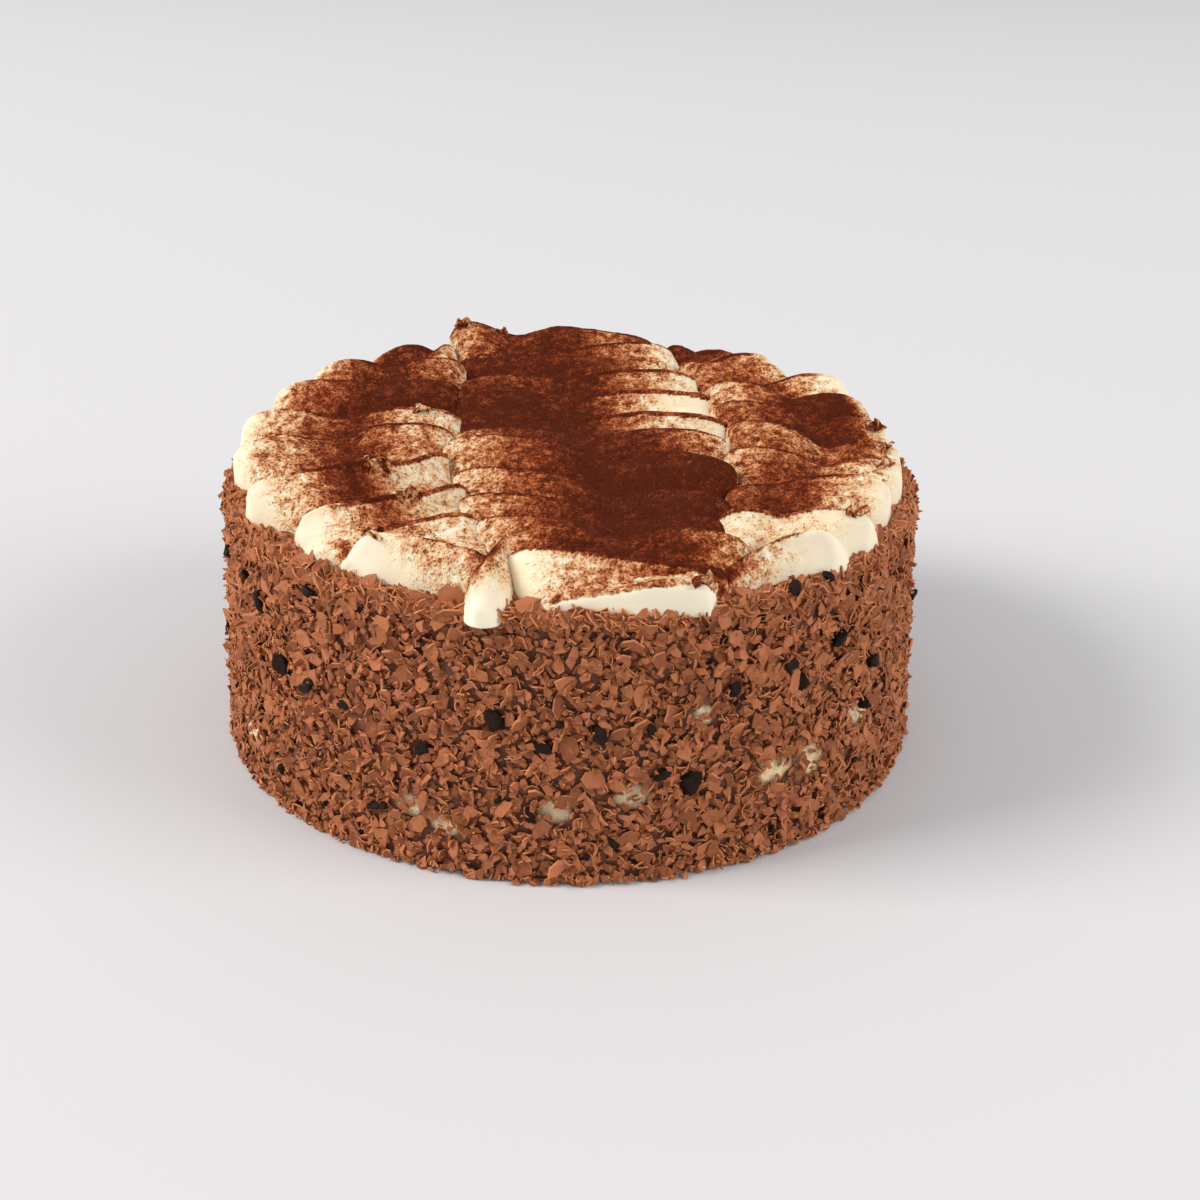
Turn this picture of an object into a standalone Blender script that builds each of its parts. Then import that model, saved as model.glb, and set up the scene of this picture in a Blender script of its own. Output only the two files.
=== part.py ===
"""A round layer cake: a body coated in chocolate flakes, with three piped bands of cream on top.

Metres, +Z up. The origin is the middle of the underside, and the front of the cake looks along -Y.
"""

import math
import random
from collections import namedtuple

import bmesh
import bpy
from mathutils import Vector, noise

# Driving dimensions
BASE_RADIUS = 0.0982
TOP_RADIUS = 0.0948
SIDE_HEIGHT = 0.0722
RIM_ROUND = 0.0035
RIM_ARC = (90.0, 45.0, 0.0)
FOOT_ROUND = 0.0012
GAP = 0.0003

# The body's uneven side
TURN_STEPS = 72
COAT_RINGS = 7
COAT_RELIEF = 0.0007
COAT_WAVE = 0.011
ROUGH_FROM = 0.0006
ROUGH_TO = 0.0713

# Flakes and dark chunks: sizes in metres, shares of their length, turns in degrees
FLAKE_ROWS = 6
FLAKES_PER_ROW = 27
COAT_FOOT = 0.004
COAT_HEAD = 0.006
FLAKE_LENGTH = (0.0062, 0.0098)
FLAKE_THICKNESS = 0.0011
FLAKE_WIDTH = (0.55, 0.85)
FLAKE_BEND = (0.04, 0.12)
FLAKE_CORNERS = 5
CORNER_TURN = 16.0
CORNER_REACH = (0.82, 1.08)
FLAKE_TILT = 34.0
FLAKE_PROUD = 0.0007
GOLDEN_TURN = 137.5
SLANT_SPREAD = 23.0
PLACE_SPREAD = 0.28
HEIGHT_SPREAD = 0.30
CHUNK_LENGTH = (0.0046, 0.0066)
CHUNK_THICKNESS = 0.0038
CHUNK_EVERY = 9
FIRST_CHUNK = 4

# The flakes that stand on the rim round the cream
RIM_FLAKES = 32
RIM_FLAKE_TOP = 0.0026
RIM_FLAKE_DEPTH = (0.0012, 0.0026)
RIM_LEAN = 32.0
RIM_SLANT = (30.0, 150.0)
RIM_PROUD = 0.0003
RIM_CLEARANCE = 0.0006
STANDS_ABOVE = 0.0710

# The piped cream fills a disc set a little to the front, and two seams part it into three bands.
# A seam swings aside by a distance, with a bend, towards the back and towards the front
CREAM_RADIUS = 0.0932
CREAM_CENTRE = (0.0003, -0.0008)
LEFT_SEAM = -0.034
LEFT_SEAM_BACK = (-0.014, 5.0)
LEFT_SEAM_FRONT = (0.026, 1.8)
RIGHT_SEAM = 0.0443
RIGHT_SEAM_BACK = (-0.024, 2.5)
RIGHT_SEAM_FRONT = (-0.010, 1.3)
SEAM_REACH = 0.098
LEFT_REACH = (-0.0880, 0.0820)
MIDDLE_REACH = (-0.0925, 0.0895)
RIGHT_REACH = (-0.0840, 0.0840)
STRIP_EDGES = (-0.0035, 0.0335)

# The outline of a stroke, from the foot of its face over the ridge and down its back
FACE_LENGTH = 0.027
FACE_STATIONS = (1.0, 0.68, 0.34, 0.11, 0.0)
FACE_CURVE = 2.0
LIP_CURVE = 7.0
BACK_LENGTH = 0.0090
BACK_STATIONS = (0.5, 1.0)
BACK_CURVE = 1.3
VALLEY_WIDTH = 0.14
HEIGHT_ROUNDING = 5.0
LENGTH_ROUNDING = 3.2
END_INSET = 0.008
EDGE_STEP = 0.00025
STROKE_SECTIONS = 10
CREAM_ROOT = 0.004
CREAM_SINK = 0.0006

# Strokes, in millimetres. The ridge runs from left_y to right_y, with its middle bowed back by bow.
# The two humps have heights, and between them lies a valley at a share of the width. A lip is the share
# of the height that falls at once under the ridge. An inset draws the ridge's end in from the band's edge
MM = 0.001
Stroke = namedtuple("Stroke", (
    "left_y", "right_y", "bow", "left_height", "right_height", "valley_place", "valley_depth",
    "left_lip", "right_lip", "left_inset", "right_inset",
))
LEFT_STROKES = (
    Stroke(70, 76, 0, 15.4, 15.0, 0.55, 2.5, 0.05, 0.05, 0.5, 0.0),
    Stroke(50, 61, 0, 17.0, 15.4, 0.42, 3.0, 0.05, 0.10, 0.0, 0.0),
    Stroke(31, 40, 0, 16.2, 14.8, 0.50, 1.2, 0.05, 0.10, 0.0, 0.0),
    Stroke(7, 16, 0, 15.6, 13.8, 0.42, 3.4, 0.05, 0.25, 0.0, 0.0),
    Stroke(-14, 1, 5, 12.9, 14.0, 0.42, 3.4, 0.05, 0.20, 0.0, 0.0),
    Stroke(-42, -15, -4, 13.8, 14.6, 0.78, 2.8, 0.15, 0.50, 0.0, 0.0),
    Stroke(-59, -37, -5, 12.6, 13.4, 0.76, 1.8, 0.35, 0.45, 5.5, 0.0),
    Stroke(-66, -60, 0, 5.0, 12.6, 0.50, 0.0, 0.05, 0.35, 3.0, 0.0),
    Stroke(-75, -82, -1, 14.0, 10.6, 0.50, 0.0, 0.15, 0.05, 5.0, 2.0),
)
MIDDLE_STROKES = (
    Stroke(82, 86, 0, 23.0, 15.8, 0.30, 5.6, 0.05, 0.05, 0.0, 0.0),
    Stroke(69, 77, 0, 12.8, 17.0, 0.42, 1.8, 0.05, 0.15, 0.0, 0.0),
    Stroke(52, 55, 0, 12.2, 14.2, 0.45, 2.0, 0.05, 0.35, 0.0, 0.0),
    Stroke(36, 34, 0, 12.4, 13.8, 0.45, 2.2, 0.05, 0.50, 0.0, 0.0),
    Stroke(20, 16, 0, 12.0, 12.8, 0.48, 2.4, 0.05, 0.50, 0.0, 0.0),
    Stroke(6, -3, 0, 11.5, 14.2, 0.50, 3.0, 0.05, 0.10, 0.0, 0.0),
    Stroke(-7, -25, 0, 14.8, 14.6, 0.56, 5.2, 0.05, 0.05, 0.0, 0.0),
    Stroke(-29, -47, 0, 13.6, 12.4, 0.58, 5.0, 0.10, 0.05, 0.0, 0.0),
    Stroke(-46, -61, 0, 12.8, 11.2, 0.58, 4.6, 0.10, 0.05, 0.0, 0.0),
    Stroke(-61, -74, 0, 12.5, 13.0, 0.52, 4.6, 0.05, 0.05, 0.0, 0.0),
    Stroke(-80, -88, -2, 11.6, 7.2, 0.50, 0.0, 0.10, 0.30, 1.0, 0.0),
)
STRIP_STROKE = Stroke(-91.5, -89.5, 0, 2.0, 8.0, 0.60, -0.8, 0.85, 0.90, 0.0, 0.0)
RIGHT_STROKES = (
    Stroke(80, 75, 0, 14.6, 13.4, 0.50, 2.4, 0.05, 0.05, 0.0, 0.0),
    Stroke(66, 64, 0, 13.6, 16.6, 0.36, 1.4, 0.05, 0.15, 0.0, 4.0),
    Stroke(47, 42, 0, 12.4, 17.0, 0.46, 2.2, 0.05, 0.15, 0.0, 0.0),
    Stroke(39, 31, 0, 16.0, 13.8, 0.58, 3.6, 0.10, 0.05, 0.0, 1.0),
    Stroke(27, 13, 0, 14.2, 12.0, 0.60, 3.4, 0.05, 0.30, 0.0, 1.5),
    Stroke(9, -4, 0, 14.2, 11.0, 0.58, 4.4, 0.05, 0.20, 0.0, 1.5),
    Stroke(-12, -18, 0, 13.2, 10.8, 0.58, 3.2, 0.05, 0.10, 0.0, 2.5),
    Stroke(-36, -37, 4, 10.5, 13.2, 0.30, 1.6, 0.05, 0.35, 0.0, 3.0),
    Stroke(-60, -56, 0, 13.8, 12.6, 0.45, 2.2, 0.35, 0.25, 0.0, 0.0),
    Stroke(-87, -69, 3, 6.0, 13.6, 0.50, 0.0, 0.25, 0.45, 0.0, 0.0),
)

# The short last stroke beside the left band tapers back to a point: places from its tip to its round
# end, the reach to either side, and the crest's height at the tip and at the end
TAIL_PATH = ((-0.0180, -0.0720), (-0.0205, -0.0830), (-0.0218, -0.0925))
TAIL_HALF_WIDTH = 0.0072
TAIL_HEIGHTS = (0.0115, 0.0060)
TAIL_SHARES = (0.06, 0.25, 0.50, 0.72, 0.90, 1.0)
TAIL_SECTION = ((-1.0, 0.0), (-0.78, 0.60), (-0.25, 1.0), (0.45, 0.72), (1.0, 0.0))
TAIL_TAPER = 0.7
TAIL_END_ROUNDING = 4.0
TAIL_BLUNTNESS = 0.1

SEED = 7
WELD = 0.00001
LEVEL_CUTTER_SIDE = 0.3
CREAM_CREASE = 40.0
COAT_CREASE = 35.0
CHOCOLATE = (0.255, 0.110, 0.064)
CHOCOLATE_ROUGHNESS = 0.55
CREAM = (0.80, 0.70, 0.50)
CREAM_ROUGHNESS = 0.45


def clear_scene():
    """Remove every object that the file opened with."""
    for item in list(bpy.data.objects):
        bpy.data.objects.remove(item, do_unlink=True)


def new_collection(name):
    """A collection in the scene."""
    collection = bpy.data.collections.new(name)
    bpy.context.scene.collection.children.link(collection)
    return collection


def principled(name, colour, roughness):
    """A plain material with one Principled shader."""
    material = bpy.data.materials.new(name)
    material.use_nodes = True
    shader = material.node_tree.nodes["Principled BSDF"]
    shader.inputs["Base Color"].default_value = (*colour, 1.0)
    shader.inputs["Roughness"].default_value = roughness
    shader.inputs["Metallic"].default_value = 0.0
    return material


def object_from(bm, name, collection):
    """Turn a bmesh into a linked object."""
    mesh = bpy.data.meshes.new(name)
    bm.to_mesh(mesh)
    bm.free()
    result = bpy.data.objects.new(name, mesh)
    collection.objects.link(result)
    return result


def apply_modifiers(target):
    """Make the object's evaluated mesh its own."""
    bpy.context.view_layer.update()
    depsgraph = bpy.context.evaluated_depsgraph_get()
    mesh = bpy.data.meshes.new_from_object(target.evaluated_get(depsgraph))
    target.modifiers.clear()
    target.data = mesh


def keep_largest_body(bm):
    """Drop the loose scraps and keep the body with the most faces."""
    unseen = set(bm.verts)
    bodies = []
    while unseen:
        body = {unseen.pop()}
        edge_of_body = list(body)
        while edge_of_body:
            vertex = edge_of_body.pop()
            for edge in vertex.link_edges:
                other = edge.other_vert(vertex)
                if other in unseen:
                    unseen.remove(other)
                    body.add(other)
                    edge_of_body.append(other)
        bodies.append(body)
    bodies.sort(key=len)
    for scrap in bodies[:-1]:
        bmesh.ops.delete(bm, geom=list(scrap), context="VERTS")


def fuse(target, pieces):
    """Join a collection's solids to the target with one Boolean union, and remove the collection."""
    union = target.modifiers.new("fused pieces", "BOOLEAN")
    union.operation = "UNION"
    union.solver = "MANIFOLD"
    union.operand_type = "COLLECTION"
    union.collection = pieces
    apply_modifiers(target)
    for piece in list(pieces.objects):
        bpy.data.objects.remove(piece, do_unlink=True)
    bpy.data.collections.remove(pieces)


def drop_scraps(target):
    """Keep only the largest body that a Boolean leaves."""
    bm = bmesh.new()
    bm.from_mesh(target.data)
    keep_largest_body(bm)
    bm.to_mesh(target.data)
    bm.free()


def side_radius(z):
    """The body's radius at a height, on its slightly tapered side."""
    return BASE_RADIUS + (TOP_RADIUS - BASE_RADIUS) * z / SIDE_HEIGHT


def body_profile():
    """The outline from the middle of the top, down the side, to the middle of the underside."""
    profile = [(0.0, SIDE_HEIGHT)]
    centre = side_radius(SIDE_HEIGHT) - RIM_ROUND
    for degrees in RIM_ARC:
        turn = math.radians(degrees)
        z = SIDE_HEIGHT - RIM_ROUND * (1.0 - math.sin(turn))
        profile.append((centre + RIM_ROUND * math.cos(turn), z))
    top = SIDE_HEIGHT - RIM_ROUND
    for ring in range(1, COAT_RINGS):
        z = top + (FOOT_ROUND - top) * ring / (COAT_RINGS - 1)
        profile.append((side_radius(z), z))
    profile.append((BASE_RADIUS - FOOT_ROUND, 0.0))
    profile.append((0.0, 0.0))
    return profile


def turned_body(collection):
    """Turn the profile round the axis, then roughen the side as the coat of flakes does."""
    profile = body_profile()
    mesh = bpy.data.meshes.new("cake_body")
    points = [(radius, 0.0, z) for radius, z in profile]
    edges = [(index, index + 1) for index in range(len(points) - 1)]
    mesh.from_pydata(points, edges, [])
    body = bpy.data.objects.new("cake_body", mesh)
    collection.objects.link(body)
    turn = body.modifiers.new("turned", "SCREW")
    turn.axis = "Z"
    turn.steps = TURN_STEPS
    turn.render_steps = TURN_STEPS
    turn.use_merge_vertices = True
    turn.merge_threshold = WELD
    apply_modifiers(body)
    for vertex in body.data.vertices:
        point = vertex.co
        out = Vector((point.x, point.y, 0.0))
        if ROUGH_FROM < point.z < ROUGH_TO:
            vertex.co += out.normalized() * COAT_RELIEF * noise.noise(point / COAT_WAVE)
    return body


def cream_edge(out):
    """How far the cream reaches from the axis in a direction."""
    shift = Vector((*CREAM_CENTRE, 0.0))
    along = shift.dot(out)
    return along + math.sqrt(CREAM_RADIUS**2 - shift.length_squared + along**2)


def held_in_coat(corners):
    """Keep a flake above the underside, and clear of the cream where it stands above the top."""
    stands = max(corner.z for corner in corners) > STANDS_ABOVE
    for corner in corners:
        corner.z = max(corner.z, FOOT_ROUND)
        if stands:
            out = Vector((corner.x, corner.y, 0.0))
            reach = cream_edge(out.normalized()) + RIM_CLEARANCE
            if out.length < reach:
                out *= reach / out.length
                corner.x = out.x
                corner.y = out.y
            corner.z = min(corner.z, SIDE_HEIGHT + RIM_FLAKE_TOP)
    return corners


def chip(name, centre, face_out, along, length, thickness, rng, collection):
    """One flake: an uneven many-cornered plate with a bent middle."""
    side = face_out.cross(along).normalized()
    width = length * rng.uniform(*FLAKE_WIDTH)
    bend = length * rng.uniform(*FLAKE_BEND)
    outline = []
    for step in range(FLAKE_CORNERS):
        turn = math.radians(360.0 * step / FLAKE_CORNERS + rng.uniform(-CORNER_TURN, CORNER_TURN))
        reach = rng.uniform(*CORNER_REACH) / 2
        lengthwise = along * math.cos(turn) * length * reach
        outline.append(centre + lengthwise + side * math.sin(turn) * width * reach)
    corners = [corner + face_out * thickness / 2 for corner in outline]
    corners.append(centre + face_out * (thickness / 2 + bend))
    corners.extend(corner - face_out * thickness / 2 for corner in outline)
    corners.append(centre + face_out * (bend - thickness / 2))
    bm = bmesh.new()
    verts = [bm.verts.new(corner) for corner in held_in_coat(corners)]
    upper = verts[:FLAKE_CORNERS]
    upper_middle = verts[FLAKE_CORNERS]
    lower = verts[FLAKE_CORNERS + 1 : -1]
    lower_middle = verts[-1]
    for index in range(FLAKE_CORNERS):
        after = (index + 1) % FLAKE_CORNERS
        bm.faces.new((upper_middle, upper[index], upper[after]))
        bm.faces.new((lower_middle, lower[after], lower[index]))
        bm.faces.new((upper[index], lower[index], lower[after]))
        bm.faces.new((upper[index], lower[after], upper[after]))
    bmesh.ops.recalc_face_normals(bm, faces=bm.faces)
    return object_from(bm, name, collection)


def side_flakes(rng, collection):
    """The largest flakes and dark chunks, askew in staggered rows round the side."""
    row_height = (SIDE_HEIGHT - COAT_FOOT - COAT_HEAD) / FLAKE_ROWS
    for index in range(FLAKE_ROWS * FLAKES_PER_ROW):
        row = index // FLAKES_PER_ROW
        place = index % FLAKES_PER_ROW + 0.5 * (row % 2) + rng.uniform(-PLACE_SPREAD, PLACE_SPREAD)
        turn = 2.0 * math.pi * place / FLAKES_PER_ROW
        z = COAT_FOOT + row_height * (row + 0.5 + rng.uniform(-HEIGHT_SPREAD, HEIGHT_SPREAD))
        out = Vector((math.cos(turn), math.sin(turn), 0.0))
        slant = math.radians(GOLDEN_TURN * index + rng.uniform(-SLANT_SPREAD, SLANT_SPREAD))
        along = Vector((-out.y * math.cos(slant), out.x * math.cos(slant), math.sin(slant)))
        lift = math.radians(rng.uniform(-FLAKE_TILT, FLAKE_TILT))
        face_out = out * math.cos(lift) + out.cross(along) * math.sin(lift)
        dark = index % CHUNK_EVERY == FIRST_CHUNK
        length = rng.uniform(*(CHUNK_LENGTH if dark else FLAKE_LENGTH))
        thickness = CHUNK_THICKNESS if dark else FLAKE_THICKNESS
        centre = out * (side_radius(z) + FLAKE_PROUD) + Vector((0.0, 0.0, z))
        chip("flake_%03d" % index, centre, face_out, along, length, thickness, rng, collection)


def rim_flakes(rng, collection):
    """Flakes that stand on the rim round the cream."""
    for index in range(RIM_FLAKES):
        turn = 2.0 * math.pi * (index + rng.uniform(-PLACE_SPREAD, PLACE_SPREAD)) / RIM_FLAKES
        out = Vector((math.cos(turn), math.sin(turn), 0.0))
        up = Vector((0.0, 0.0, 1.0))
        round_rim = out.cross(up)
        lean = math.radians(rng.uniform(0.0, RIM_LEAN))
        face_out = out * math.cos(lean) - up * math.sin(lean)
        slant = math.radians(rng.uniform(*RIM_SLANT))
        along = round_rim * math.cos(slant) + face_out.cross(round_rim) * math.sin(slant)
        length = rng.uniform(*FLAKE_LENGTH)
        depth = rng.uniform(*RIM_FLAKE_DEPTH)
        centre = out * (TOP_RADIUS + RIM_PROUD) + up * (SIDE_HEIGHT - depth)
        chip("rim_flake_%02d" % index, centre, face_out, along, length, FLAKE_THICKNESS, rng, collection)


def seam(y, middle, back, front):
    """Where two bands meet: straight in the middle, and swung aside to the back and the front."""
    swing, bend = back if y > 0.0 else front
    return middle + swing * (abs(y) / SEAM_REACH) ** bend


def left_seam(y):
    """Where the left and the middle band meet."""
    return seam(y, LEFT_SEAM, LEFT_SEAM_BACK, LEFT_SEAM_FRONT)


def right_seam(y):
    """Where the middle and the right band meet."""
    return seam(y, RIGHT_SEAM, RIGHT_SEAM_BACK, RIGHT_SEAM_FRONT)


def disc_edges(y):
    """The cream's leftmost and rightmost place at a distance along the bands."""
    half = math.sqrt(max(CREAM_RADIUS**2 - (y - CREAM_CENTRE[1]) ** 2, 0.0))
    return CREAM_CENTRE[0] - half, CREAM_CENTRE[0] + half


def left_band(y):
    """The left band's two edges."""
    return disc_edges(y)[0], left_seam(y) - GAP / 2


def middle_band(y):
    """The middle band's two edges."""
    left, right = disc_edges(y)
    return max(left_seam(y) + GAP / 2, left), min(right_seam(y) - GAP / 2, right)


def right_band(y):
    """The right band's two edges."""
    return right_seam(y) + GAP / 2, disc_edges(y)[1]


def strip_band(y):
    """The edges of the low stroke along the middle band's front."""
    return STRIP_EDGES[0], min(STRIP_EDGES[1], right_seam(y) - GAP / 2)


def within_disc(x, y, inset):
    """Pull a place that passes the cream's edge back to it."""
    from_centre = Vector((x - CREAM_CENTRE[0], y - CREAM_CENTRE[1]))
    if from_centre.length > CREAM_RADIUS - inset:
        from_centre *= (CREAM_RADIUS - inset) / from_centre.length
    return from_centre.x + CREAM_CENTRE[0], from_centre.y + CREAM_CENTRE[1]


def place_across(band, stroke, y, across, drawn_in):
    """The x of a place between a stroke's two ends, which are drawn in from the band's edges."""
    left, right = band(y)
    left += stroke.left_inset * MM * drawn_in
    right -= stroke.right_inset * MM * drawn_in
    return left + (right - left) * across


def stroke_section(band, reach, stroke, across, inset=0.0):
    """The stroke's outline at one place across its band, from its front foot over the ridge to its back."""
    from_middle = abs(2.0 * across - 1.0)
    tall = (1.0 - from_middle**HEIGHT_ROUNDING) ** (1.0 / HEIGHT_ROUNDING)
    long = (1.0 - from_middle**LENGTH_ROUNDING) ** (1.0 / LENGTH_ROUNDING)
    blend = across * across * (3.0 - 2.0 * across)
    lip = stroke.left_lip + (stroke.right_lip - stroke.left_lip) * blend
    bowed = stroke.bow * 4.0 * across * (1.0 - across)
    ridge_y = (stroke.left_y + (stroke.right_y - stroke.left_y) * across + bowed) * MM
    ridge_x = place_across(band, stroke, min(max(ridge_y, reach[0]), reach[1]), across, 1.0)
    valley = stroke.valley_depth * math.exp(-(((across - stroke.valley_place) / VALLEY_WIDTH) ** 2))
    crest = stroke.left_height + (stroke.right_height - stroke.left_height) * blend - valley
    height = crest * tall * MM
    aside = ridge_x - CREAM_CENTRE[0]
    front_y = CREAM_CENTRE[1] - math.sqrt(max(CREAM_RADIUS**2 - aside**2, 0.0))
    face = min(FACE_LENGTH, ridge_y - front_y) * long
    outline = []
    for station in FACE_STATIONS:
        fall = lip * (1.0 - (1.0 - station) ** LIP_CURVE) + (1.0 - lip) * station**FACE_CURVE
        outline.append((ridge_y - face * station, height * (1.0 - fall)))
    for station in BACK_STATIONS:
        fall = station**BACK_CURVE
        outline.append((ridge_y + BACK_LENGTH * (1.0 + lip) * long * station, height * (1.0 - fall)))
    outline.insert(0, (outline[0][0], -CREAM_ROOT))
    outline.append((outline[-1][0], -CREAM_ROOT))
    section = []
    for y, up in outline:
        drawn_in = 1.0 - max(0.0, ridge_y - y) / FACE_LENGTH
        held_y = min(max(y, reach[0] + inset), reach[1] - inset)
        x, held_y = within_disc(place_across(band, stroke, held_y, across, drawn_in), held_y, inset)
        section.append(Vector((x, held_y, SIDE_HEIGHT + GAP - CREAM_SINK + up)))
    return section


def lofted(name, rings, collection):
    """Close a row of equal outlines into one solid."""
    bm = bmesh.new()
    rows = [[bm.verts.new(point) for point in ring] for ring in rings]
    for first, second in zip(rows, rows[1:]):
        count = len(first)
        for index in range(count):
            after = (index + 1) % count
            bm.faces.new((first[index], first[after], second[after], second[index]))
    bm.faces.new(rows[0])
    bm.faces.new(list(reversed(rows[-1])))
    bmesh.ops.remove_doubles(bm, verts=bm.verts, dist=WELD)
    bmesh.ops.triangulate(bm, faces=bm.faces)
    bmesh.ops.recalc_face_normals(bm, faces=bm.faces)
    return object_from(bm, name, collection)


def piped_stroke(name, place, band, reach, stroke, collection):
    """One stroke of a band; no two neighbours end at quite the same distance from the edge."""
    shorter = place % 3
    rings = []
    for index in range(STROKE_SECTIONS):
        turn = math.pi * index / (STROKE_SECTIONS - 1)
        across = 0.5 - 0.5 * math.cos(turn) * (1.0 - 2.0 * END_INSET * (1 + shorter))
        rings.append(stroke_section(band, reach, stroke, across, EDGE_STEP * shorter))
    return lofted(name, rings, collection)


def tail_stroke(name, collection):
    """The short stroke that tapers to a point between the left and the middle band."""
    tip, middle, end = (Vector(place) for place in TAIL_PATH)
    rings = []
    for share in TAIL_SHARES:
        centre = tip * (1.0 - share) ** 2 + middle * 2.0 * share * (1.0 - share) + end * share**2
        ahead = ((middle - tip) * (1.0 - share) + (end - middle) * share).normalized()
        width = TAIL_HALF_WIDTH * share**TAIL_TAPER
        width *= max(1.0 - share**TAIL_END_ROUNDING, TAIL_BLUNTNESS) ** (1.0 / TAIL_END_ROUNDING)
        height = TAIL_HEIGHTS[0] + (TAIL_HEIGHTS[1] - TAIL_HEIGHTS[0]) * share**2
        section = [(-1.0, -CREAM_ROOT)]
        section.extend((across, height * up) for across, up in TAIL_SECTION)
        section.append((1.0, -CREAM_ROOT))
        ring = []
        for across, up in section:
            x, y = within_disc(centre.x - ahead.y * width * across, centre.y + ahead.x * width * across, 0.0)
            x = min(x, left_seam(y) - GAP / 2)
            ring.append(Vector((x, y, SIDE_HEIGHT + GAP - CREAM_SINK + up)))
        rings.append(ring)
    return lofted(name, rings, collection)


def level_cutter(collection):
    """A block whose top is the level that the cream rests at."""
    bm = bmesh.new()
    bmesh.ops.create_cube(bm, size=1.0)
    bmesh.ops.scale(bm, vec=(LEVEL_CUTTER_SIDE, LEVEL_CUTTER_SIDE, SIDE_HEIGHT), verts=bm.verts)
    bmesh.ops.translate(bm, vec=(0.0, 0.0, SIDE_HEIGHT / 2 + GAP), verts=bm.verts)
    cutter = object_from(bm, "level_cutter", collection)
    cutter.hide_render = True
    cutter.display_type = "WIRE"
    return cutter


def finish(target, material, crease):
    """Smooth shading with sharp creases, and one material."""
    target.data.shade_smooth()
    target.data.set_sharp_from_angle(angle=math.radians(crease))
    target.data.materials.clear()
    target.data.materials.append(material)


def coated_body(parts):
    """The body with its flakes fused on."""
    body = turned_body(parts)
    pieces = new_collection("coat_flakes")
    rng = random.Random(SEED)
    side_flakes(rng, pieces)
    rim_flakes(rng, pieces)
    fuse(body, pieces)
    drop_scraps(body)
    finish(body, principled("milk chocolate flakes", CHOCOLATE, CHOCOLATE_ROUGHNESS), COAT_CREASE)


def cream_band(name, strokes, with_tail, parts, cutter):
    """A band: its strokes fused into one solid with a level underside."""
    pieces = new_collection(name + "_strokes")
    cream = piped_stroke(name, 0, *strokes[0], parts)
    for place, stroke in enumerate(strokes[1:], start=1):
        piped_stroke("%s_stroke_%02d" % (name, place), place, *stroke, pieces)
    if with_tail:
        tail_stroke(name + "_tail", pieces)
    fuse(cream, pieces)
    level = cream.modifiers.new("level underside", "BOOLEAN")
    level.operation = "DIFFERENCE"
    level.solver = "MANIFOLD"
    level.object = cutter
    apply_modifiers(cream)
    drop_scraps(cream)
    finish(cream, principled(name + " cream", CREAM, CREAM_ROUGHNESS), CREAM_CREASE)


def main():
    """Build the cake."""
    clear_scene()
    parts = new_collection("layer_cake")
    cutters = new_collection("cutters")
    coated_body(parts)
    cutter = level_cutter(cutters)
    left = [(left_band, LEFT_REACH, stroke) for stroke in LEFT_STROKES]
    middle = [(middle_band, MIDDLE_REACH, stroke) for stroke in MIDDLE_STROKES]
    middle.append((strip_band, MIDDLE_REACH, STRIP_STROKE))
    right = [(right_band, RIGHT_REACH, stroke) for stroke in RIGHT_STROKES]
    cream_band("cream_band_left", left, True, parts, cutter)
    cream_band("cream_band_middle", middle, False, parts, cutter)
    cream_band("cream_band_right", right, False, parts, cutter)


main()
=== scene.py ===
"""A dressed layer cake: piped cream dusted with cocoa, on a body coated in chocolate flakes.

Metres, +Z up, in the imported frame. The front of the cake looks along -Y.
"""

import math
import random
from collections import namedtuple

import bmesh
import bpy
import numpy as np
from bpy.props import FloatProperty, FloatVectorProperty, IntProperty, PointerProperty
from bpy.types import Operator, Panel, PropertyGroup
from mathutils import Matrix, Vector, kdtree, noise


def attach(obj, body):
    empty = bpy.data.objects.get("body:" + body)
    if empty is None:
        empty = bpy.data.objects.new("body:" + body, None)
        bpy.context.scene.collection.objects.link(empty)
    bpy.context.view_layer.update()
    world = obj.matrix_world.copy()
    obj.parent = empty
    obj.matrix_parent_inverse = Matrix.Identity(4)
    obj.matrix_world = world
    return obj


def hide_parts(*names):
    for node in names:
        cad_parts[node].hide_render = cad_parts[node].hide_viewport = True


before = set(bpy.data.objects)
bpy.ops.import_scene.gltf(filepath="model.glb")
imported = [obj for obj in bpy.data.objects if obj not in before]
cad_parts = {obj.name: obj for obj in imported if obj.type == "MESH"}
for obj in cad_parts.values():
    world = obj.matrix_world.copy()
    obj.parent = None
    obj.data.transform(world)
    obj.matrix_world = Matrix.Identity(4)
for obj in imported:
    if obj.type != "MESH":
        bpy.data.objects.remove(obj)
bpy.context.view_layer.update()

bl_info = {
    "name": "Layer Cake with Piped Cream",
    "version": (1, 0, 0),
    "blender": (4, 5, 0),
    "location": "3D View > Sidebar > Cake",
    "description": "Builds the cake's flakes, cream and cocoa round its packed solids",
    "category": "Object",
}

BODY = "root"

# The body, as the solids have it
BASE_RADIUS = 0.0982
TOP_RADIUS = 0.0948
SIDE_HEIGHT = 0.0722
RIM_ROUND = 0.0035
RIM_ARC = (60.0, 30.0, 0.0)
FOOT_ROUND = 0.0012
TOP_RINGS = 24
SIDE_RINGS = 70
TURN_STEPS = 300
GAP = 0.0003

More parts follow.
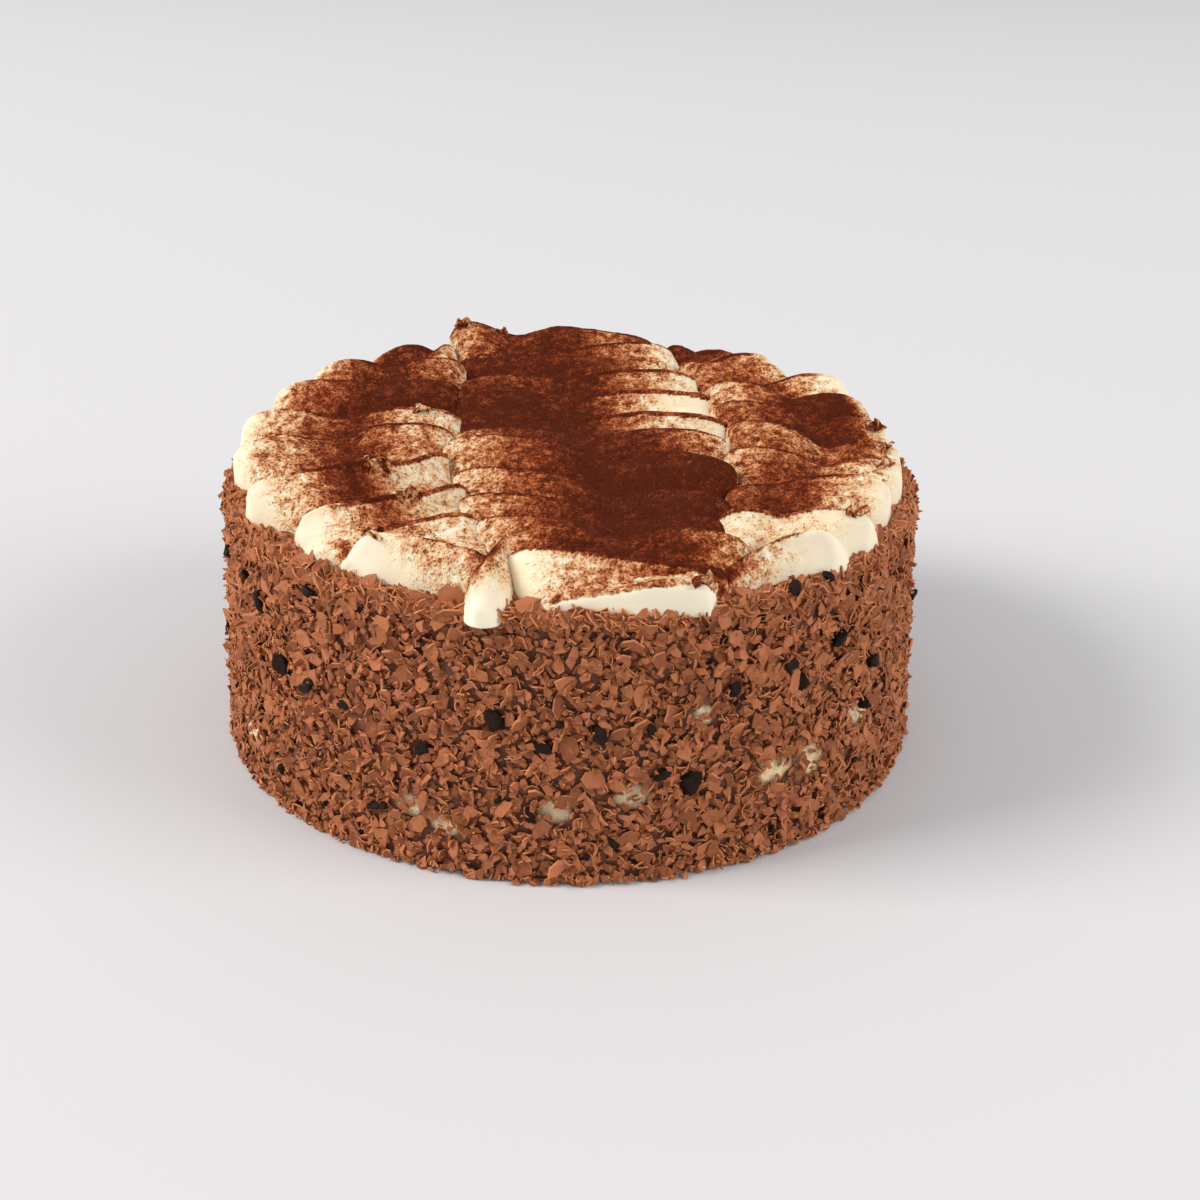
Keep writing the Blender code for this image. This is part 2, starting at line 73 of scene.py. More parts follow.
# The piped cream fills a disc set a little to the front, and two seams part it into three bands.
# A seam swings aside by a distance, with a bend, towards the back and towards the front
CREAM_RADIUS = 0.0932
CREAM_CENTRE = (0.0003, -0.0008)
LEFT_SEAM = -0.034
LEFT_SEAM_BACK = (-0.014, 5.0)
LEFT_SEAM_FRONT = (0.026, 1.8)
RIGHT_SEAM = 0.0443
RIGHT_SEAM_BACK = (-0.024, 2.5)
RIGHT_SEAM_FRONT = (-0.010, 1.3)
SEAM_REACH = 0.098
LEFT_REACH = (-0.0925, 0.0820)
MIDDLE_REACH = (-0.0925, 0.0895)
RIGHT_REACH = (-0.0900, 0.0840)
STRIP_EDGES = (-0.0035, 0.0335)

# The uneven side of the body under the flakes: depths, and the length of their waves
SIDE_RELIEF = ((0.0006, 0.011), (0.0004, 0.003))
SIDE_SINK = 0.0004

# The outline of a stroke, from the foot of its face over the ridge and down its back
FACE_LENGTH = 0.025
FACE_CURVE = 1.75
LIP_CURVE = 7.0
BACK_LENGTH = 0.0090
BACK_CURVE = 1.3
BULB_REACH = (0.004, 0.020)
BULB_BEHIND = (-0.045, -0.020)
BULB_SHORTER = 0.12
BULB_BACK = (0.35, 0.8)
VALLEY_WIDTH = 0.14
HEIGHT_ROUNDING = 5.0
CUT_END_ROUNDING = 4.0
BULB_ROUNDING = 2.6
BULB_SPREAD = 0.0010
RIM_SPREAD = 0.0018
RIM_REACH = 0.009
RIM_SAG = 0.0028
RIM_EDGE = 0.0015
SOFT_RIM = (0.006, 0.002)
RIM_SOFTENING = 14
CUT_DEPTH = 0.0004
SHELF = 2.2
SEAM_OVERLAP = (0.0008, 0.0034)
END_INSET = 0.008
EDGE_STEP = 0.00025
CREAM_ROOT = 0.004
CREAM_SINK = 0.0006
FACE_POINTS = 22
BACK_POINTS = 8
STROKE_SECTIONS = 70
FACE_CROWDING = 1.6

# The lumps of the cream's skin: depths, and the length of their waves
CREAM_LUMPS = ((0.00022, 0.0045), (0.00008, 0.0013))

# Strokes, in millimetres. The ridge runs from left_y to right_y, with its middle bowed back by bow.
# The two humps have heights, and between them lies a valley at a share of the width. A lip is the
# share of the height that falls at once under the ridge. An inset draws the ridge's end in from the
# band's edge. Cocoa lies on the stroke's face by five amounts from left to right
MM = 0.001
Stroke = namedtuple("Stroke", (
    "left_y", "right_y", "bow", "left_height", "right_height", "valley_place", "valley_depth",
    "left_lip", "right_lip", "left_inset", "right_inset", "cocoa",
))
LEFT_STROKES = (
    Stroke(70, 76, 0, 15.4, 15.0, 0.55, 2.5, 0.05, 0.05, 0.5, 0.0, (0.75, 0.85, 0.80, 0.55, 0.35)),
    Stroke(50, 61, 0, 17.0, 15.4, 0.42, 3.0, 0.05, 0.10, 0.0, 0.0, (0.45, 0.70, 0.90, 0.65, 0.50)),
    Stroke(31, 40, 0, 16.2, 14.8, 0.50, 1.2, 0.05, 0.10, 0.0, 0.0, (0.50, 0.65, 0.90, 0.90, 0.85)),
    Stroke(7, 16, 0, 15.6, 13.8, 0.42, 3.4, 0.05, 0.25, 0.0, 0.0, (0.35, 0.48, 0.90, 0.33, 0.30)),
    Stroke(-14, 1, 5, 12.9, 14.0, 0.42, 3.4, 0.05, 0.20, 0.0, 0.0, (0.33, 0.45, 0.88, 0.50, 0.42)),
    Stroke(-42, -15, -4, 13.8, 14.6, 0.78, 2.8, 0.15, 0.50, 0.0, 0.0, (0.18, 0.42, 0.95, 0.28, 0.28)),
    Stroke(-59, -37, -5, 12.6, 13.4, 0.76, 1.8, 0.35, 0.45, 5.5, 0.0, (0.10, 0.33, 0.80, 0.28, 0.24)),
    Stroke(-66, -60, 0, 5.0, 12.6, 0.50, 0.0, 0.05, 0.35, 3.0, 0.0, (0.30, 0.60, 0.50, 0.30, 0.32)),
    Stroke(-75, -82, -1, 14.0, 10.6, 0.50, 0.0, 0.15, 0.05, 5.0, 7.0, (0.03, 0.28, 0.36, 0.50, 0.80)),
)
MIDDLE_STROKES = (
    Stroke(82, 86, 0, 23.0, 15.8, 0.30, 5.6, 0.05, 0.05, 0.0, 0.0, (0.45, 0.80, 0.90, 0.60, 0.90)),
    Stroke(69, 77, 0, 12.8, 17.0, 0.42, 1.8, 0.05, 0.15, 0.0, 0.0, (0.90, 0.90, 0.90, 0.60, 0.10)),
    Stroke(52, 55, 0, 12.2, 14.2, 0.45, 2.0, 0.05, 0.35, 0.0, 0.0, (0.85, 0.80, 0.95, 0.50, 0.10)),
    Stroke(36, 34, 0, 12.4, 13.8, 0.45, 2.2, 0.05, 0.50, 0.0, 0.0, (0.90, 0.95, 0.90, 0.20, 0.03)),
    Stroke(20, 16, 0, 12.0, 12.8, 0.48, 2.4, 0.05, 0.50, 0.0, 0.0, (0.90, 0.95, 0.95, 0.35, 0.10)),
    Stroke(6, -3, 0, 11.5, 14.2, 0.50, 3.0, 0.05, 0.10, 0.0, 0.0, (0.45, 0.90, 0.95, 0.80, 0.30)),
    Stroke(-7, -25, 0, 14.8, 14.6, 0.56, 5.2, 0.05, 0.05, 0.0, 0.0, (0.28, 0.70, 0.95, 0.95, 0.90)),
    Stroke(-29, -47, 0, 13.6, 12.4, 0.58, 5.0, 0.10, 0.05, 0.0, 0.0, (0.26, 0.66, 0.95, 0.95, 0.90)),
    Stroke(-46, -61, 0, 12.8, 11.2, 0.58, 4.6, 0.10, 0.05, 0.0, 0.0, (0.34, 0.72, 0.95, 0.95, 0.90)),
    Stroke(-61, -74, 0, 12.5, 13.0, 0.52, 4.6, 0.05, 0.05, 0.0, -4.0, (0.28, 0.80, 0.95, 0.80, 0.34)),
    Stroke(-80, -85, -1, 11.8, 8.6, 0.50, 0.0, 0.10, 0.60, 1.0, 0.0, (0.02, 0.30, 0.45, 0.85, 0.90)),
)
STRIP_STROKE = Stroke(
    -92.5, -90.5, 0, 4.5, 8.6, 0.60, -0.6, 0.85, 0.90, 0.0, 0.0, (0.02, 0.02, 0.02, 0.02, 0.02)
)
RIGHT_STROKES = (
    Stroke(80, 75, 0, 14.6, 13.4, 0.50, 2.4, 0.05, 0.05, 0.0, 0.0, (0.85, 0.85, 0.80, 0.70, 0.50)),
    Stroke(66, 64, 0, 13.6, 16.6, 0.36, 1.4, 0.05, 0.15, 0.0, 4.0, (0.40, 0.60, 0.65, 0.50, 0.15)),
    Stroke(47, 42, 0, 12.4, 17.0, 0.46, 2.2, 0.05, 0.15, 0.0, 0.0, (0.80, 0.85, 0.75, 0.30, 0.15)),
    Stroke(39, 31, 0, 16.0, 13.8, 0.58, 3.6, 0.10, 0.05, 0.0, 1.0, (0.35, 0.50, 0.85, 0.95, 0.90)),
    Stroke(27, 13, 0, 14.2, 12.0, 0.60, 3.4, 0.05, 0.30, 0.0, 1.5, (0.60, 0.70, 0.90, 0.90, 0.40)),
    Stroke(9, -4, 0, 14.2, 11.0, 0.58, 4.4, 0.05, 0.20, 0.0, 1.5, (0.55, 0.60, 0.60, 0.75, 0.40)),
    Stroke(-12, -18, 0, 13.2, 10.8, 0.58, 3.2, 0.05, 0.10, 0.0, 2.5, (0.35, 0.65, 0.75, 0.42, 0.25)),
    Stroke(-36, -37, 4, 10.5, 13.2, 0.30, 1.6, 0.05, 0.35, 0.0, 3.0, (0.70, 0.80, 0.80, 0.30, 0.20)),
    Stroke(-60, -56, 0, 13.8, 12.6, 0.45, 2.2, 0.35, 0.25, 0.0, 0.0, (0.24, 0.20, 0.24, 0.15, 0.08)),
    Stroke(-87, -69, 3, 6.0, 13.6, 0.50, 0.0, 0.25, 0.45, 0.0, 0.0, (0.95, 0.92, 0.40, 0.18, 0.04)),
)

# The short last stroke beside the left band tapers back to a point: places from its tip to its round
# end, the reach to either side, and the crest's height at the tip and at the end
TAIL_PATH = ((-0.0150, -0.0745), (-0.0182, -0.0860), (-0.0212, -0.0958))
TAIL_HALF_WIDTH = 0.0096
TAIL_HEIGHTS = (0.0122, 0.0050)
TAIL_SPREAD = 0.0050
TAIL_RIDGE = -0.25
TAIL_TAPER = 0.7
TAIL_END_ROUNDING = 2.0
TAIL_BLUNTNESS = 0.02
TAIL_CROWN = (1.7, 0.8)
TAIL_TIP = 0.03
TAIL_SECTIONS = 40
TAIL_POINTS = 33
TAIL_COCOA = (0.70, 0.95, 0.50, 0.25, 0.10)
TAIL_COCOA_END = (0.95, 0.45)

# Cocoa lies on level cream and slides off steep cream
STEEP = -0.05
LEVEL = 0.60
STEEP_SHARE = 0.30
CREST_COCOA = 0.92
PALE_CREST = 0.74
STRIP_CREST_COCOA = 0.48
STRIP_BACK_COCOA = 0.30
BARE_END = 0.30
CREST_THINNING_AND_HIGHLIGHT = 0.05
CREST_POINTS = 3
BULB_COCOA = (0.02, 0.15)
CREST_FROM_END = (0.12, 0.15)
COCOA_KNOTS = (0.0, 0.25, 0.5, 0.75, 1.0)

# Dark chunks that show from the front: degrees round from +X, height in millimetres
FRONT_CHUNKS = (
    (-155.7, 69.5), (-150.8, 60.3), (-145.3, 56.3), (-131.8, 66.4), (-167.5, 32.6), (-139.2, 42.0),
    (-132.4, 40.2), (-125.0, 39.4), (-111.6, 33.9), (-100.3, 44.8), (-94.1, 38.4), (-85.7, 41.2),
    (-78.5, 42.3), (-76.9, 29.2), (-72.3, 26.1), (-95.5, 19.2), (-119.1, 14.4), (-83.6, 11.4),
    (-139.4, 11.2), (-56.0, 51.8), (-53.9, 47.2), (-45.3, 54.5), (-49.0, 72.5), (-55.6, 72.0),
    (-36.2, 41.2), (-38.2, 30.9), (-13.0, 44.0), (-65.9, 49.1), (-172.0, 66.0), (-163.0, 58.0),
)

# The other chunks: those on the back by where they start and how far they range, small ones in
# front by their limits, in degrees and millimetres, and the lumps' shapes
BACK_CHUNKS = 46
BACK_CHUNK_TURNS = (-5.0, 195.0)
BACK_CHUNK_HEIGHTS = (8.0, 62.0)
SMALL_CHUNKS = 36
SMALL_CHUNK_TURNS = (-180.0, -5.0)
SMALL_CHUNK_HEIGHTS = (4.0, 72.0)
CHUNK_SIZE = (0.0046, 0.0074)
SMALL_CHUNK_SIZE = (0.0018, 0.0030)
CHUNK_CUTS = 9
CHUNK_CUT_DEPTH = (0.20, 0.40)
CHUNK_ROUGHNESS = 0.09
CHUNK_PROUD = 0.0013
CHUNK_TILT = 0.5
CHUNK_CREASE = 32.0
GOLDEN_TURN = 137.5
GOLDEN_SHARE = 0.618

# Where the cream under the flakes shows: degrees round from +X, height and reach in millimetres
BARE_PATCHES = (
    (-152.0, 11.5, 7.5), (-113.9, 16.4, 4.5), (-108.3, 12.9, 4.5), (-92.0, 19.8, 5.0), (-80.8, 23.5, 5.5),
    (-70.1, 43.3, 4.0), (-57.7, 23.1, 6.0), (-50.6, 21.9, 6.5), (-37.7, 28.5, 7.0), (-10.0, 18.0, 5.0),
    (28.0, 12.0, 5.0), (63.0, 22.0, 6.0), (95.0, 14.0, 5.0), (131.0, 25.0, 5.5), (166.0, 12.0, 6.0),
)

# A patch is lower than it is long. Its reach is divided by these for its full and its faded edge,
# and fewer flakes lie on it
PATCH_SQUASH = 1.25
PATCH_FULL = 2200.0
PATCH_FADED = 750.0
PATCH_CLEARING = 0.74

# Steps that spread places evenly over a square
EVEN_STEPS = (0.7548776662, 0.5698402910)

# Flakes: play of the corners' places, the middle's rise, the bend across, and room over the floor
CORNER_SHIFT = 0.35
MIDDLE_RISE = 0.4
CROSS_BEND = 0.25
OVER_FLOOR = 0.0001
RIM_PROUD = 0.0012
RIM_TURN = 1.1

# Colours that go with the ones that a user may change
PALE_CHOCOLATE = (0.54, 0.188, 0.080)
# Paler edges of the flakes: partly bloom on the broken chocolate, partly a painted highlight
BROKEN_EDGE_AND_HIGHLIGHT = (0.74, 0.31, 0.13)
UNDER_CREAM = (0.82, 0.64, 0.38)
# Yellowish cream on the ledge, darkened to olive as painted shade under the cream's edge
LEDGE_CREAM_PAINTED_SHADE = (0.62, 0.50, 0.20)
# Dark cocoa grains, and the painted shade in small pits
FRECKLE_AND_PIT_SHADE = (0.075, 0.015, 0.006)
FAINT_COCOA = (0.88, 0.71, 0.47)
LIGHT_COCOA = (0.82, 0.45, 0.22)
DENSE_COCOA = (0.32, 0.060, 0.016)

SEED = 11


def clamp(value, low=0.0, high=1.0):
    """Hold a number between two others."""
    return min(max(value, low), high)


def smooth_step(values, low, high):
    """Rise smoothly from 0 to 1 between two values."""
    share = np.clip((values - low) / (high - low), 0.0, 1.0)
    return share * share * (3.0 - 2.0 * share)


def side_radius(z):
    """The body's radius at a height, on its slightly tapered side."""
    return BASE_RADIUS + (TOP_RADIUS - BASE_RADIUS) * z / SIDE_HEIGHT


def waves(point, relief):
    """Noise at a place, by depths and the length of their waves."""
    return sum(depth * noise.noise(Vector(point) / length) for depth, length in relief)


def shade(colour, share):
    """A colour made darker or lighter."""
    return [share * part for part in colour]


def linked(name, mesh):
    """Link a piece, and tell the frame what carries it."""
    piece = bpy.data.objects.new(name, mesh)
    bpy.context.scene.collection.objects.link(piece)
    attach(piece, BODY)
    return piece


def give_numbers(mesh, name, values, domain="POINT"):
    """Store one number for each point or face, for the material to read."""
    attribute = mesh.attributes.new(name, "FLOAT", domain)
    attribute.data.foreach_set("value", np.asarray(values, dtype=np.float32))


def points_of(mesh):
    """A mesh's points as an array."""
    points = np.empty(len(mesh.vertices) * 3)
    mesh.vertices.foreach_get("co", points)
    return points.reshape(-1, 3)


def set_points(mesh, points):
    """Move a mesh's points."""
    mesh.vertices.foreach_set("co", points.reshape(-1))
    mesh.update()


def outward_of(mesh):
    """The direction that the surface faces at each point."""
    normals = np.empty(len(mesh.vertices) * 3)
    mesh.vertex_normals.foreach_get("vector", normals)
    return normals.reshape(-1, 3)


def apply_modifiers(target):
    """Make the object's evaluated mesh its own."""
    bpy.context.view_layer.update()
    depsgraph = bpy.context.evaluated_depsgraph_get()
    mesh = bpy.data.meshes.new_from_object(target.evaluated_get(depsgraph))
    target.modifiers.clear()
    target.data = mesh


# Shader maths

class Number:
    """A number that varies over a surface, with Python's operators standing for Math nodes."""

    def __init__(self, finish, socket):
        self.finish = finish
        self.socket = socket

    def maths(self, operation, *operands):
        return self.finish.node("ShaderNodeMath", {"operation": operation}, dict(enumerate(operands)))

    def __add__(self, other):
        return self.maths("ADD", self, other)

    __radd__ = __add__

    def __sub__(self, other):
        return self.maths("SUBTRACT", self, other)

    def __rsub__(self, other):
        return self.maths("SUBTRACT", other, self)

    def __mul__(self, other):
        return self.maths("MULTIPLY", self, other)

    __rmul__ = __mul__

    def held(self):
        """The number held between 0 and 1."""
        return self.finish.node("ShaderNodeClamp", {}, {"Value": self})

    def rise(self, low, high):
        """A smooth rise from 0 to 1 between two values."""
        settings = {"interpolation_type": "SMOOTHSTEP"}
        inputs = {"Value": self, "From Min": low, "From Max": high}
        return self.finish.node("ShaderNodeMapRange", settings, inputs)


class Finish:
    """A material with one Principled shader, and the nodes that feed it."""

    def __init__(self, name, constants):
        self.material = bpy.data.materials.new(name)
        self.material.use_nodes = True
        self.tree = self.material.node_tree
        self.shader = self.tree.nodes["Principled BSDF"]
        for title, value in constants.items():
            self.shader.inputs[title].default_value = value

    def node(self, kind, settings, inputs, output=0):
        """Any node: its settings first, then the values or links of its sockets."""
        made = self.tree.nodes.new(kind)
        for title, value in settings.items():
            setattr(made, title, value)
        for title, value in inputs.items():
            self.feed(made.inputs[title], value)
        return Number(self, made.outputs[output])

    def feed(self, socket, value):
        """Give a socket a value or a link."""
        if isinstance(value, Number):
            self.tree.links.new(value.socket, socket)
        else:
            socket.default_value = value

    def feed_shader(self, title, value):
        """Give one of the Principled shader's sockets a link."""
        self.feed(self.shader.inputs[title], value)

    def place(self):
        """The place on the object, in metres."""
        return self.node("ShaderNodeTexCoord", {}, {}, "Object")

    def attribute(self, name):
        """A number stored on the mesh."""
        return self.node("ShaderNodeAttribute", {"attribute_name": name}, {}, "Fac")

    def mottle(self, place, size, detail=2.0, roughness=0.5):
        """Noise with patches of a size in metres."""
        return self.node(
            "ShaderNodeTexNoise", {},
            {"Vector": place, "Scale": 1.0 / size, "Detail": detail, "Roughness": roughness}, "Fac",
        )

    def ramp(self, share, stops):
        """A colour ramp from (place, colour) stops."""
        made = self.tree.nodes.new("ShaderNodeValToRGB")
        elements = made.color_ramp.elements
        while len(elements) < len(stops):
            elements.new(0.5)
        for element, (place, colour) in zip(elements, stops):
            element.position = place
            element.color = (*colour, 1.0)
        self.feed(made.inputs["Fac"], share)
        return Number(self, made.outputs["Color"])

    def mix(self, share, first, second):
        """Mix two colours."""
        made = self.tree.nodes.new("ShaderNodeMix")
        made.data_type = "RGBA"
        self.feed(made.inputs["Factor"], share)
        for socket, value in ((made.inputs[6], first), (made.inputs[7], second)):
            self.feed(socket, value if isinstance(value, Number) else (*value, 1.0))
        return Number(self, made.outputs[2])

    def bump(self, height, depth):
        """Feed the shader's normal with a relief of a depth in metres."""
        self.feed_shader("Normal", self.node("ShaderNodeBump", {}, {"Height": height, "Distance": depth}))


# Sizes and colours

def colour_property(name, description, default):
    """A colour that a user may change."""
    return FloatVectorProperty(
        name=name, description=description, subtype="COLOR", size=3, min=0.0, max=1.0, default=default
    )


def count_property(name, description, default):
    """A number of pieces that a user may change."""
    return IntProperty(name=name, description=description, default=default, min=0)


def light_property(name, description, default, subtype):
    """A light's strength that a user may change."""
    return FloatProperty(name=name, description=description, default=default, min=0.0, subtype=subtype)


class CoatSettings(PropertyGroup):
    """The chocolate coat."""

    fine: count_property("Fine shards", "How many fine shards cover the side", 11000)
    medium: count_property("Medium shards", "How many medium shards cover the side", 7800)
    curls: count_property("Curls", "How many narrow curls cover the side", 3600)
    large: count_property("Large shards", "How many large shards lie on top", 650)
    chocolate: colour_property("Milk chocolate", "Colour of the shards", (0.36, 0.107, 0.041))
    dark_chocolate: colour_property("Dark chocolate", "Colour of the dark chunks", (0.016, 0.007, 0.004))


class CreamSettings(PropertyGroup):
    """The piped cream and the cocoa on it."""

    voxel: FloatProperty(
        name="Grain", description="Length of the cream's mesh faces",
        default=0.0006, min=0.0004, subtype="DISTANCE",
    )
    cream: colour_property("Cream", "Colour of the bare cream", (0.90, 0.81, 0.62))
    thin_cocoa: colour_property("Thin cocoa", "Colour where cream shows through cocoa", (0.55, 0.175, 0.062))
    thick_cocoa: colour_property("Thick cocoa", "Colour where cocoa hides the cream", (0.128, 0.019, 0.004))


class StudioSettings(PropertyGroup):
    """The floor, the lights and the camera."""

    key: light_property("Key light", "Power of the large light", 330.0, "POWER")
    fill: light_property("Fill light", "Power of the fill light", 165.0, "POWER")
    sky: light_property("Surround", "Strength of the light all round", 0.62, "NONE")
    floor: colour_property("Floor", "Colour of the floor", (0.645, 0.638, 0.648))


# Cake body

def body_profile():
    """The outline from the middle of the top, down the side, to the middle of the underside."""
    profile = [(share * (TOP_RADIUS - RIM_ROUND), SIDE_HEIGHT) for share in np.linspace(0, 1, TOP_RINGS)]
    centre = side_radius(SIDE_HEIGHT) - RIM_ROUND
    for turn in np.radians(RIM_ARC):
        z = SIDE_HEIGHT - RIM_ROUND * (1.0 - math.sin(turn))
        profile.append((centre + RIM_ROUND * math.cos(turn), z))
    top = SIDE_HEIGHT - RIM_ROUND
    for ring in range(1, SIDE_RINGS):
        z = top + (FOOT_ROUND - top) * ring / (SIDE_RINGS - 1)
        profile.append((side_radius(z), z))
    profile.append((BASE_RADIUS - FOOT_ROUND, 0.0))
    profile.append((0.0, 0.0))
    return profile


def bareness(points):
    """How much of the cream under the flakes shows at each place on the side."""
    turn = np.arctan2(points[:, 1], points[:, 0])
    shown = np.zeros(len(points))
    for degrees, height, reach in BARE_PATCHES:
        along = (turn - math.radians(degrees) + math.pi) % (2.0 * math.pi) - math.pi
        away = np.hypot(along * BASE_RADIUS, (points[:, 2] - height / 1000.0) * PATCH_SQUASH)
        shown = np.maximum(shown, 1.0 - smooth_step(away, reach / PATCH_FULL, reach / PATCH_FADED))
    return shown


def cake_core():
    """The body under the flakes, with an uneven side."""
    profile = body_profile()[1:-1]
    points = []
    for step in range(TURN_STEPS):
        turn = 2.0 * math.pi * step / TURN_STEPS
        for radius, z in profile:
            points.append((radius * math.cos(turn), radius * math.sin(turn), z))
    inner = len(profile)
    faces = []
    for step in range(TURN_STEPS):
        here = step * inner
        after = (step + 1) % TURN_STEPS * inner
        for ring in range(inner - 1):
            faces.append((here + ring, here + ring + 1, after + ring + 1, after + ring))
    top = len(points)
    points.append((0.0, 0.0, SIDE_HEIGHT))
    points.append((0.0, 0.0, 0.0))
    for step in range(TURN_STEPS):
        here = step * inner
        after = (step + 1) % TURN_STEPS * inner
        faces.append((top, here, after))
        faces.append((top + 1, after + inner - 1, here + inner - 1))
    for index, point in enumerate(points):
        place = Vector(point)
        out = Vector((place.x, place.y, 0.0))
        if FOOT_ROUND / 2 < place.z < SIDE_HEIGHT - RIM_ROUND / 4 and out.length > TOP_RADIUS / 2:
            points[index] = place + out.normalized() * (waves(place, SIDE_RELIEF) - SIDE_SINK)
    mesh = bpy.data.meshes.new("cake_core")
    mesh.from_pydata(points, [], faces)
    mesh.shade_smooth()
    give_numbers(mesh, "bare", bareness(points_of(mesh)))
    return mesh


def core_finish(coat):
    """Dark brown on the side, painted shade in the gaps between the flakes, where the cream under them shows
    in patches; on top, patches of yellow cream in brown, darkened as painted shade under the cream's edge.
    """
    finish = Finish("painted_shade_and_under_cream", {"Roughness": 0.6})
    place = finish.place()
    patches = finish.mottle(place, 0.004, 3.0, 0.6)
    # Two dark browns in random patches: painted shade in the gaps between the flakes
    chocolate = finish.mix(patches, shade(coat.chocolate, 0.28), shade(coat.chocolate, 0.60))
    shown = (finish.attribute("bare") * 1.8 - finish.mottle(place, 0.0024, 3.0, 0.6) * 1.6).held()
    side = finish.mix(shown, chocolate, UNDER_CREAM)
    height = finish.node("ShaderNodeSeparateXYZ", {}, {"Vector": place}, "Z")
    upper = height.rise(SIDE_HEIGHT - 0.0012, SIDE_HEIGHT - 0.0004)
    # The top of the body: patches of yellowish cream in brown, both darkened as painted shade under the
    # cream's edge
    dusted = finish.mix(patches.rise(0.22, 0.32), LEDGE_CREAM_PAINTED_SHADE, shade(coat.chocolate, 0.45))
    finish.feed_shader("Base Color", finish.mix(upper, side, dusted))
    finish.bump(finish.mottle(place, 0.0015, 3.0), 0.0004)
    return finish.material


class CAKE_OT_core(Operator):
    """Make the body under the flakes"""

    bl_idname = "cake.core"
    bl_label = "Cake Body"

    def execute(self, context):
        mesh = cake_core()
        mesh.materials.append(core_finish(context.scene.cake_coat))
        piece = linked("cake_core", mesh)
        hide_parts("cake_body")
        return {"FINISHED"}


# Chocolate coat

def shard_outline(corners):
    """A flat shard: the places round its outline, and the faces over, under and round it."""
    turns = np.arange(corners) * 2.0 * math.pi / corners
    outline = np.stack([np.cos(turns), np.sin(turns)], axis=1) / 2
    faces = [tuple(range(corners)), tuple(range(2 * corners - 1, corners - 1, -1))]
    for corner in range(corners):
        after = (corner + 1) % corners
        faces.append((corner, corner + corners, after + corners, after))
    return outline, faces


def curl_outline(lengths=3):
    """A bent sliver: two rows of places along it, and the faces over, under and round it."""
    widths = np.array([0.55, 1.0, 0.85, 0.4]) / 2
    outline = []
    for row in range(lengths + 1):
        along = row / lengths - 0.5
        outline.append((along, -widths[row]))
        outline.append((along, widths[row]))
    under = len(outline)
    faces = []
    for row in range(lengths):
        near = 2 * row
        faces.append((near, near + 2, near + 3, near + 1))
        faces.append((under + near, under + near + 1, under + near + 3, under + near + 2))
    for row in range(lengths):
        near = 2 * row
        faces.append((near, under + near, under + near + 2, near + 2))
        faces.append((near + 3, under + near + 3, under + near + 1, near + 1))
    last = 2 * lengths
    faces.append((1, under + 1, under, 0))
    faces.append((last, under + last, under + last + 1, last + 1))
    return np.array(outline), faces


def even_places(count, rng):
    """Pairs of numbers from 0 to 1 that spread evenly, with a little play."""
    index = np.arange(count)
    return [(index * step + rng.uniform(-0.5, 0.5, count) / math.sqrt(count)) % 1.0 for step in EVEN_STEPS]


def side_places(count, rng, low, high, depth):
    """Places and outward directions on the side between two heights."""
    first, second = even_places(count, rng)
    turn = first * 2.0 * math.pi
    z = low + (high - low) * second
    out = np.stack([np.cos(turn), np.sin(turn), np.zeros(count)], axis=1)
    radius = side_radius(z) + rng.uniform(*depth, count)
    centres = out * radius[:, None]
    centres[:, 2] = z
    keep = rng.uniform(0.0, 1.0, count) > PATCH_CLEARING * bareness(centres)
    return centres[keep], out[keep]


def rim_places(count, rng, low, high, width=0.0024):
    """Places and directions on the ledge round the cream."""
    turn = even_places(count, rng)[0] * 2.0 * math.pi
    out = np.stack([np.cos(turn), np.sin(turn), np.zeros(count)], axis=1)
    share = rng.uniform(0.0, 1.0, count)
    centres = out * (TOP_RADIUS + RIM_PROUD - width * share)[:, None]
    centres[:, 2] = low + (high - low) * share
    up = np.array([0.0, 0.0, 1.0])
    facing = out * np.cos(share * RIM_TURN)[:, None] + up * np.sin(share * RIM_TURN)[:, None]
    return centres, facing


